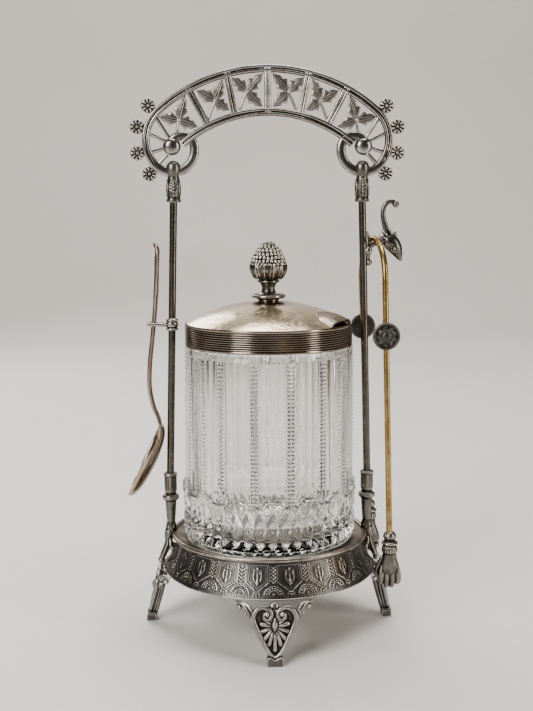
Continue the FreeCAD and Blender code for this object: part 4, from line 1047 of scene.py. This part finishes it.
def leg_shape():
    """The front leg: a leaning plate with volutes and a palmette on a foot, with a strap and two arms."""
    pieces = []
    half = smooth_path([(0.7, -0.2), (3.0, 1.8), (5.6, 6.2), (8.3, 11.6), (10.6, 17.0), (11.2, 18.9)], 30)
    top = [(9.4, 22.4), (5.2, 24.2), (1.2, 22.8), (0, 21.4)]
    right = [tuple(p) for p in half] + top
    left = [(-x, z) for x, z in right[::-1]][1:]
    outline = right + left
    pieces.append(prism(outline, -0.3, 1.35))
    for side in (1, -1):
        rim = [(side * x, -0.7, z) for x, z in [(0.6, 0.6), (2.7, 2.6), (5.1, 6.6), (7.6, 11.8),
                (9.8, 16.8)]]
        rim += [(side * 10.0, -0.9, 19.6), (side * 8.4, -1.1, 22.4), (side * 5.4, -1.2, 23.5),
                (side * 2.3, -1.2, 22.2), (side * 1.45, -1.3, 19.9), (side * 2.6, -1.35, 18.2),
                (side * 4.4, -1.35, 18.5), (side * 4.8, -1.4, 20.0), (side * 3.7, -1.4, 20.9)]
        radii = [0.9, 1.0, 1.15, 1.25, 1.35, 1.35, 1.25, 1.15, 1.1, 1.0, 0.95, 0.9, 0.85, 0.9]
        pieces.append(tube(rim, radii, 16, 110))
        pieces.append(ball((side * 3.5, -1.5, 20.3), 1.15, 18))
        pieces.append(ball((side * 1.2, -1.0, 23.9), 0.6, 12))
    lobes = 13
    heart = np.array([0.0, 14.6])
    for k in range(lobes):
        share = k / (lobes - 1)
        turn = math.radians(-90 - 152 + 304 * share)
        reach_x, reach_z = 6.3, 6.6
        if k == (lobes - 1) / 2:
            reach_z = 10.4
        elif abs(share - 0.5) < 0.3:
            reach_z = 8.8
        tip = heart + [reach_x * math.cos(turn), reach_z * math.sin(turn)]
        root = heart + [0.7 * math.cos(turn), 0.7 * math.sin(turn)]
        mid = (tip + root) / 2
        pieces.append(tube([(root[0], -0.9, root[1]), (mid[0], -1.2, mid[1]), (tip[0], -0.55, tip[1])],
                           [0.5, 0.85, 1.12], 12, 14))
    pieces.append(tube([(0, -1.1, 13.0), (0, -1.9, 15.6), (0, -1.3, 18.0)], [0.9, 1.55, 0.8], 16, 16))
    plate_part = merged(pieces)
    lean = turn_x(-LEG_LEAN)
    plate_part = moved(plate_part, lean, (0, -FOOT_R - 0.3, FOOT_HIGH - 1.0))
    w, d, h = 7.7 / 2, 4.9 / 2, FOOT_HIGH
    outline = [(-w, 0), (w, 0), (w, h - 0.9), (w - 0.5, h), (2.3, h + 0.2), (0, h - 1.0), (-2.3, h + 0.2),
               (-w + 0.5, h), (-w, h - 0.9)]
    foot = moved(prism(outline, -d, d), by=(0, -FOOT_R, 0))
    back = tube([(0, -FOOT_R + 1.2, 2.6), (0, -FOOT_R + 3.4, 9.5), (0, -FOOT_R + 5.6, 18.0),
            (0, -54.2, 26.6)], [1.7, 1.6, 1.7, 1.6], 16, 30, side=(1, 0, 0), flat=1.6)
    arms = []
    for side in (1, -1):
        path = [(side * 10.2, -56.6, 20.6), (side * 11.6, -56.0, 22.6), (side * 13.0, -55.2, 25.4),
                (side * 15.0, -53.6, 27.4), (side * 17.9, -51.3, 27.5)]
        arms.append(tube(path, [1.1, 1.0, 0.95, 1.0, 0.9], 16, 40))
        inner = [(side * 9.6, -56.9, 24.3), (side * 11.2, -56.2, 25.6), (side * 12.4, -55.3, 26.8),
                 (side * 14.6, -53.9, 27.8)]
        arms.append(tube(inner, [0.8, 0.8, 0.75, 0.7], 14, 26))
        arms.append(ball((side * 16.3, -52.7, 25.5), 1.45, 20))
        arms.append(ball((side * 13.4, -55.4, 23.4), 0.85, 14))
    return merged([plate_part, foot, back] + arms)


def make_legs():
    shape = leg_shape()
    first = mesh_piece("front_leg_cast", shape, LEG_PLATE, "frame", ["front_leg"], remesh=0.2,
            relax=1)
    for name, degrees in (("right_leg", 90), ("back_leg", 180), ("left_leg", 270)):
        mesh = first.data.copy()
        mesh.transform(Matrix.Rotation(math.radians(degrees), 4, "Z"))
        obj = bpy.data.objects.new(name + "_cast", mesh)
        bpy.context.scene.collection.objects.link(obj)
        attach(obj, "frame")
        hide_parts(name)


# Hook
def make_hook():
    pieces = []
    post_middle, post_r, past_post = 47.62, 1.85, 0.35
    root = post_middle + post_r + past_post
    stalk = [(root + 0.1, 0, 185.6), (root + 0.3, 0, 190.0), (root + 0.5, 0, 194.4), (root + 0.1, 0, 198.6)]
    pieces.append(tube(stalk, [1.0, 1.6, 1.6, 0.9], 16, 24, flat=0.9))
    pieces.append(tube([(root + 0.2, 0, 190.4), (51.2, 0, 192.9), (53.0, 0, 193.9), (55.4, 0, 194.5),
                        (58.0, 0, 195.7)], [2.1, 1.6, 1.15, 1.25, 2.2], 18, 36))
    pieces.append(tube([(root, 0, 196.4), (49.9, 0, 198.4), (49.6, 0, 200.0)], [1.1, 0.9, 0.6], 12, 12))
    pieces.append(ball((50.6, 0, 184.9), 1.7, 18, (1, 1.1, 1)))
    head = [(57.2, 0, 196.2), (59.4, 0, 196.0), (61.8, 0, 194.6), (63.8, 0, 192.0), (65.2, 0, 189.2),
            (66.2, 0, 187.2), (66.8, 0, 185.7)]
    pieces.append(tube(head, [2.0, 3.5, 4.05, 3.6, 2.5, 1.5, 0.6], 24, 50, flat=0.88))
    pieces.append(tube([(64.8, 0, 188.6), (65.0, 0, 187.0), (65.4, 0, 186.4)], [0.9, 0.6, 0.35], 12, 10))
    for face in (1, -1):
        pieces.append(ball((63.1, face * 3.15, 191.6), 1.0, 16))
        ring = [(63.1 + 1.5 * math.cos(b), face * 3.1, 191.6 + 1.5 * math.sin(b))
                for b in np.linspace(0, TURN, 17)]
        pieces.append(tube(ring, 0.32, 8, caps=False))
        pieces.append(tube([(64.6, face * 1.35, 190.2), (65.9, face * 0.5, 187.2)], [0.35, 0.25], 8, 8))
        for x, z, turn in ((57.6, 198.2, 150), (58.4, 200.0, 140), (60.6, 200.6, 95), (62.8, 199.2, 60)):
            a = math.radians(turn)
            base = (x + 1.2, face * 1.5, z - 1.8)
            tip = (x + 1.7 * math.cos(a), face * 1.9, z + 1.7 * math.sin(a) - 0.4)
            pieces.append(tube([base, ((base[0] + tip[0]) / 2, face * 2.2, (base[2] + tip[2]) / 2), tip],
                               [0.75, 0.7, 0.25], 10, 10))
    crest = [(60.6, 0, 197.4), (59.4, 0, 201.0), (57.9, 0, 206.0), (57.6, 0, 210.4), (58.9, 0, 213.9),
             (61.2, 0, 215.2), (63.2, 0, 214.7)]
    pieces.append(tube(crest, [2.3, 1.75, 1.35, 1.25, 1.2, 1.15, 1.1], 16, 60, flat=0.9))
    pieces.append(ball((63.9, 0, 213.8), 1.75, 18))
    shape = merged(pieces)
    return mesh_piece("tongs_hook_bird", shape, HOOK_PLATE, "frame", ["tongs_hook"],
            remesh=0.17, relax=1)


# Spoon bracket
def make_bracket():
    x = post_x(154.3)
    pieces = []
    collar = rounded([(1.87, 151.3), (2.7, 151.3), [(3.1, 151.6), (3.1, 152.2), (2.7, 152.5)],
            (2.65, 153.0), [(3.05, 153.4), (3.15, 154.3), (3.05, 155.2)], (2.65, 155.6), [(3.1, 156.1),
            (3.1, 156.8), (2.7, 157.3)], (1.87, 157.3)], 6)
    pieces.append(moved(revolved(collar, 48), by=(x, 0, 0)))
    for face in (1, -1):
        path = [(x + 2.2, face * 1.4, 154.3), (x + 4.2, face * 3.2, 154.3), (x + 6.4, face * 3.55, 154.4),
                (60.0, face * 3.45, 154.7)]
        pieces.append(tube(path, [1.15, 0.95, 0.9, 0.85], 16, 26))
        pieces.append(ball((60.0, face * 3.5, 154.7), 1.2, 18))
    shape = mirror(merged(pieces))
    return mesh_piece("spoon_fork_bracket", shape, DARK_PLATE, "frame", ["spoon_bracket"],
            wear=0.8)


# Tongs
TONG_R = 1.5
BOW_TOP = np.array([52.9, 0, 196.8])
ENDS = {-1: np.array([56.0, -20.4, 175.8]), 1: np.array([49.6, 20.4, 175.8])}
CLAWS = {-1: np.array([58.3, -29.0, 47.0]), 1: np.array([56.2, 30.0, 47.0])}


def bow_circle():
    """Centre, radius and two unit vectors of the bow's circle, from its three points."""
    a, b, c = ENDS[-1], BOW_TOP, ENDS[1]
    ab, ac = b - a, c - a
    n = np.cross(ab, ac)
    centre = a + (np.dot(ac, ac) * np.cross(np.cross(ab, ac), ab) + np.dot(ab, ab) * np.cross(ac, n)) / (
        2 * np.dot(n, n))
    radius = np.linalg.norm(a - centre)
    up = (b - centre) / radius
    side = np.cross(up, n / np.linalg.norm(n))
    if np.dot(side, ENDS[-1] - centre) < 0:
        side = -side
    return centre, radius, up, side


def bow_points(start, end, count):
    """Points of the bow, by the angle from its top, positive towards the front arm."""
    centre, radius, up, side = bow_circle()
    turn = np.radians(np.linspace(start, end, count))
    return centre + radius * (np.cos(turn)[:, None] * up + np.sin(turn)[:, None] * side)


def arm_point(face, z):
    high, low = ENDS[face], CLAWS[face]
    return high + (low - high) * ((high[2] - z) / (high[2] - low[2]))


def make_tongs():
    centre, radius, up, _ = bow_circle()
    turn = 35.0
    mesh_piece("tongs_bow_rod", tube(bow_points(-turn, turn, 60), TONG_R, 28, caps=False), BRASS, "tongs",
               ["tongs_bow"], wear=None)
    for face, name, body in ((-1, "front", "front_tong"), (1, "rear", "rear_tong")):
        last = math.degrees(math.acos(np.clip(np.dot((ENDS[face] - centre) / radius, up), -1, 1)))
        arc = bow_points(-face * turn, -face * last, 40)
        straight = [ENDS[face] + (CLAWS[face] - ENDS[face]) * t for t in np.linspace(0.01, 1.0, 90)]
        path = np.vstack([arc, straight])
        mesh_piece(name + "_arm_rod", tube(path, TONG_R, 28, caps=False), BRASS, body, [name + "_arm"],
                wear=None)
        make_disc(face, name, body)
        make_claw(face, name, body)


def make_disc(face, name, body):
    profile = rounded([(0, -0.7), (5.9, -0.7), [(6.5, -0.5), (6.75, 0.1), (6.6, 0.75)],
            [(6.2, 1.05), (5.7, 0.95), (5.4, 0.6)], (5.2, 0.45), (4.1, 0.5), [(3.9, 0.85), (3.6, 0.95),
            (3.3, 0.8), (3.15, 0.5)], (2.2, 0.45), [(2.0, 0.9), (1.4, 1.25), (0.7, 1.35)], (0, 1.4)], 6)

    def relief(a, k, r, z):
        leaves = np.abs((a * 9 / TURN + 0.22 * r) % 1 - 0.5) * 2
        h = np.where((r > 4.0) & (r < 5.3) & (z > 0.3), 0.16 * smoothstep(0.75, 0.25, leaves), 0)
        h = np.where((r > 2.0) & (r < 3.3) & (z > 0.3), 0.14 * np.sin(a * 10) ** 2, h)
        return h

    fine = []
    for p, q in zip(profile, profile[1:]):
        steps = max(int(math.hypot(q[0] - p[0], q[1] - p[1]) / 0.22), 1)
        fine += [(p[0] + (q[0] - p[0]) * t, p[1] + (q[1] - p[1]) * t) for t in np.arange(steps) / steps]
    fine.append(profile[-1])
    shape = revolved(fine, 168, relief)
    at = arm_point(face, 150.0) + np.array([0, face * 1.3, 0])
    shape = moved(shape, turn_x(90 if face < 0 else -90), at)
    mesh_piece(name + "_disc_relief", shape, DISC_PLATE, body, [name + "_disc"], wear=0.8)


def make_claw(face, name, body):
    """A small open hand under a cuff, drawn for the rear arm, palm to -y, and mirrored for the front."""
    cuff = rounded([
        (0, 7.0), [(1.2, 7.0), (2.4, 6.4), (3.2, 5.0), (3.2, 3.9), (2.6, 2.9)], (2.35, 2.5),
        [(3.0, 2.1), (3.9, 1.5), (4.1, 0.9), (3.7, 0.3)], (3.2, 0.0), (3.2, -0.4),
        [(3.5, -1.2), (3.7, -2.4), (3.6, -3.4)], [(3.2, -4.0), (2.6, -4.4)], (0, -4.6),
    ], 7)

    def reeds(a, k, r, z):
        return np.where((z < -0.4) & (z > -3.5), 0.26 * np.abs(np.sin(a * 9)), 0)

    pieces = [revolved(cuff[::-1], 90, reeds)]
    stations = [(-3.6, 3.3, 2.9, 0), (-6.5, 3.6, 3.0, 0), (-10.0, 4.7, 3.3, -0.1), (-13.5, 5.7, 3.2, -0.3),
                (-16.2, 5.6, 2.8, -0.5)]
    s = smooth_path(stations, 36)
    a = np.arange(48) * TURN / 48
    across, deep = s[:, None, 1] * np.cos(a), s[:, None, 3] + s[:, None, 2] * np.sin(a)
    ring = np.stack([across, deep, s[:, None, 0] + 0 * a], -1)
    faces = grid_faces(len(s), 48, False, True)
    points = np.vstack([ring.reshape(-1, 3), [0, 0, -3.6], [0, -0.5, -17.2]])
    pieces.append((points, faces + end_fans(len(s), 48)))
    for k, drop in enumerate((19.6, 21.6, 21.4, 19.8)):
        x = -4.2 + 2.8 * k
        end = -drop
        path = [(x * 0.86, 0.8, -10.5), (x * 0.98, 1.35, -14.6), (x * 1.02, 0.9, -17.6),
                (x * 0.97, -0.6, end + 0.6), (x * 0.92, -2.0, end + 0.9)]
        pieces.append(tube(path, [1.1, 1.55, 1.5, 1.35, 1.15], 18, 40))
    pieces.append(tube([(-3.4, -0.6, -6.6), (-5.0, -1.4, -10.6), (-5.9, -2.4, -14.2), (-5.2, -3.4, -16.8)],
                       [1.2, 1.45, 1.3, 1.05], 18, 34))
    points, faces = merged(pieces)
    if face < 0:
        points[:, 1] *= -1
        faces = [f[::-1] for f in faces]
    shape = moved((points, faces), by=CLAWS[face])
    mesh_piece(name + "_claw_hand", shape, DARK_PLATE, body, [name + "_claw"], remesh=0.2)


# Spoon stem, as x, z, width and thickness down its length
STEM = [
    (-56.9, 195.4, 0.6, 0.8), (-56.4, 194.0, 3.6, 1.4), (-55.4, 191.6, 6.2, 1.8),
    (-55.7, 186.5, 7.0, 2.0), (-56.0, 178.0, 7.0, 2.0), (-56.3, 172.0, 6.5, 2.0),
    (-56.8, 165.0, 5.7, 1.9), (-57.2, 160.0, 5.0, 1.9), (-58.6, 147.2, 4.1, 1.9),
    (-60.1, 134.0, 3.5, 2.0), (-60.4, 122.0, 3.5, 2.0), (-58.6, 112.4, 4.0, 2.0),
    (-56.3, 106.6, 5.2, 1.9), (-55.2, 102.0, 7.4, 1.5),
]


def make_spoon():
    s = smooth_path(STEM, 220)
    p = s[:, :2]
    along = np.gradient(p, axis=0)
    along /= np.linalg.norm(along, axis=1)[:, None]
    normal = np.stack([along[:, 1], -along[:, 0]], 1)
    count = 48
    a = np.arange(count) * TURN / count
    c, q = np.cos(a), np.sin(a)
    w, t = s[:, 2:3] / 2, s[:, 3:4] / 2
    y = w * np.sign(c) * np.abs(c) ** 0.8
    depth = t * np.sign(q) * np.abs(q) ** 0.7
    z = p[:, 1:2] + 0 * a
    rib = ridge(y, 0.45) * (z < 172) * 0.22
    top = (z > 168) * (z < 194.5)
    edge = ridge(np.abs(y) - (w - 0.75), 0.30) * 0.24 * (z > 112)
    lobes = ridge(np.abs(y) - 1.5 * np.abs(np.sin((z - 168) / 4.2)), 0.5) * 0.26 * top
    beads = bump(np.hypot(y, (((z - 170) / 3.1) % 1 - 0.5) * 3.1), 0.9) * 0.30 * top
    relief = (rib + edge + np.maximum(lobes, beads)) * (np.abs(q) > 0.25)
    depth = depth + np.sign(q) * relief
    x = p[:, 0:1] + depth * normal[:, 0:1]
    z2 = p[:, 1:2] + depth * normal[:, 1:2]
    ring = np.stack([x, y + 0 * x, z2], -1)
    n = len(s)
    faces = grid_faces(n, count, False, True)
    points = np.vstack([ring.reshape(-1, 3), [p[0, 0], 0, p[0, 1] + 0.2], [p[-1, 0], 0, p[-1, 1]]])
    stem = (points, faces + end_fans(n, count))
    start, end = np.array([-55.5, 103.9]), np.array([-72.5, 66.5])
    d = (end - start) / np.linalg.norm(end - start)
    out = np.array([d[1], -d[0]])
    if out[0] < 0:
        out = -out
    long = np.linalg.norm(end - start)
    u = np.linspace(-1, 1, 72)
    e = np.linspace(0, math.pi, 49)
    U, E = np.meshgrid(u, e, indexing="ij")
    egg = np.sqrt(np.clip(1 - U ** 2, 0, 1)) * (1 + 0.10 * U)
    half_wide, bowl_deep, wall = 12.5, 6.4, 0.8
    y = half_wide * egg * np.cos(E)
    deep = bowl_deep * np.sqrt(np.clip(1 - U ** 2, 0, 1)) ** 0.8 * (1 - 0.10 * U)
    depth = deep * np.sin(E) ** 0.9
    mid = (start + end) / 2
    X = mid[0] + d[0] * U * long / 2 + out[0] * depth
    Z = mid[1] + d[1] * U * long / 2 + out[1] * depth
    shrink = 1 - wall / half_wide
    X2 = mid[0] + d[0] * U * (long / 2 - wall) + out[0] * depth * (1 - wall / bowl_deep)
    Z2 = mid[1] + d[1] * U * (long / 2 - wall) + out[1] * depth * (1 - wall / bowl_deep)
    outer = np.stack([X, y, Z], -1)
    inner = np.stack([X2, y * shrink, Z2], -1)
    ring = np.concatenate([outer, inner[:, ::-1]], 1)
    n, m = ring.shape[:2]
    faces = grid_faces(n, m, False, True)
    bowl = (ring.reshape(-1, 3), faces)
    shape = merged([stem, bowl])
    return mesh_piece("spoon_plated", shape, SPOON_PLATE, "spoon_body", ["spoon"], wear=0.6)


make_skirt()
make_jar()
make_lid_band()
make_finial()
make_finial_base()
make_hood()
make_handle()
make_leaves()
make_rosettes()
make_ferrule("right_ferrule_leaf", 1, "right_ferrule")
make_ferrule("left_ferrule_leaf", -1, "left_ferrule")
make_upright("right_upright_cast", 1, "right_upright")
make_upright("left_upright_cast", -1, "left_upright")
make_legs()
make_hook()
make_bracket()
make_tongs()
make_spoon()

# CAD nodes that stay as they are get their materials
for node_name, material in (("jar_dish", LIGHTENED_DISH_PLATE), ("left_post", POST_PLATE), ("right_post", POST_PLATE),
                            ("lid_dome", DOME), ("finial_nut", HOOD_PLATE)):
    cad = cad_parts[node_name]
    cad.data.materials.clear()
    cad.data.materials.append(material)


# Stage, lights and camera
def make_stage():
    """A pale floor that curves up into a pale wall."""
    profile = [(-9.0, 0.0), (1.2, 0.0)]
    profile += [(1.2 + 0.6 * math.sin(b), 0.6 - 0.6 * math.cos(b)) for b in np.linspace(0.1, math.pi / 2,
            16)]
    profile += [(1.8, 2.4)]
    points = [(x, y, z) for y, z in profile for x in (-6.0, 6.0)]
    faces = [[2 * k, 2 * k + 1, 2 * k + 3, 2 * k + 2] for k in range(len(profile) - 1)]
    mesh = bpy.data.meshes.new("stage_floor")
    mesh.from_pydata(points, [], faces)
    mesh.polygons.foreach_set("use_smooth", [True] * len(mesh.polygons))
    material, tree, shader = new_material("stage_pale")
    place = tree.nodes.new("ShaderNodeTexCoord").outputs["Object"]
    colour = ramp(tree, noise(tree, place, 3.0, 3.0), [(0.3, (0.74, 0.72, 0.69)),
            (0.7, (0.79, 0.77, 0.74))])
    tree.links.new(colour, shader.inputs["Base Color"])
    shader.inputs["Roughness"].default_value = 0.6
    mesh.materials.append(material)
    floor = bpy.data.objects.new("stage_floor", mesh)
    bpy.context.scene.collection.objects.link(floor)


def area_light(name, place, target, size, size_y, power, colour=(1, 1, 1)):
    data = bpy.data.lights.new(name, "AREA")
    data.shape = "RECTANGLE"
    data.size = size
    data.size_y = size_y
    data.energy = power
    data.color = colour
    obj = bpy.data.objects.new(name, data)
    obj.location = place
    obj.rotation_euler = (Vector(target) - Vector(place)).to_track_quat("-Z", "Y").to_euler()
    bpy.context.scene.collection.objects.link(obj)


def make_lights():
    world = bpy.data.worlds.new("studio")
    world.use_nodes = True
    world.node_tree.nodes["Background"].inputs["Color"].default_value = (0.74, 0.70, 0.65, 1)
    world.node_tree.nodes["Background"].inputs["Strength"].default_value = 0.11
    bpy.context.scene.world = world
    middle = (0, 0, 0.14)
    area_light("key", (-0.70, -0.80, 0.70), middle, 0.45, 0.75, 13.0, (1.0, 0.97, 0.93))
    area_light("fill", (0.95, -0.50, 0.40), middle, 0.22, 0.80, 6.0, (1.0, 0.93, 0.83))
    area_light("top", (0.05, 0.10, 1.1), middle, 0.7, 0.6, 9.0)
    area_light("back", (-0.5, 0.9, 0.7), middle, 0.6, 0.5, 6.0)
    area_light("wall", (0.0, 0.9, 1.9), (0, 1.8, 0.5), 2.4, 0.5, 27.0, (1.0, 0.95, 0.87))


def make_camera():
    """Placed and aimed as fitted to the photograph. The focal length and image height are in pixels."""
    focal, image_high, sensor = 1068, 711, 36
    aim, down, roll = 0.002, 0.1361, -0.0035
    data = bpy.data.cameras.new("view")
    data.lens = focal / image_high * sensor
    data.sensor_width = sensor
    data.clip_start = 0.01
    place = Vector((-0.0225, -0.5365, 0.2115))
    heading = math.atan2(-place.x, -place.y)
    yaw = -heading + aim
    pitch = math.pi / 2 - down
    obj = bpy.data.objects.new("view", data)
    obj.location = place
    obj.rotation_mode = "XYZ"
    turn = Matrix.Rotation(yaw, 3, "Z") @ Matrix.Rotation(pitch, 3, "X") @ Matrix.Rotation(roll, 3, "Z")
    obj.rotation_euler = turn.to_euler()
    bpy.context.scene.collection.objects.link(obj)
    bpy.context.scene.camera = obj


make_stage()
make_lights()
make_camera()

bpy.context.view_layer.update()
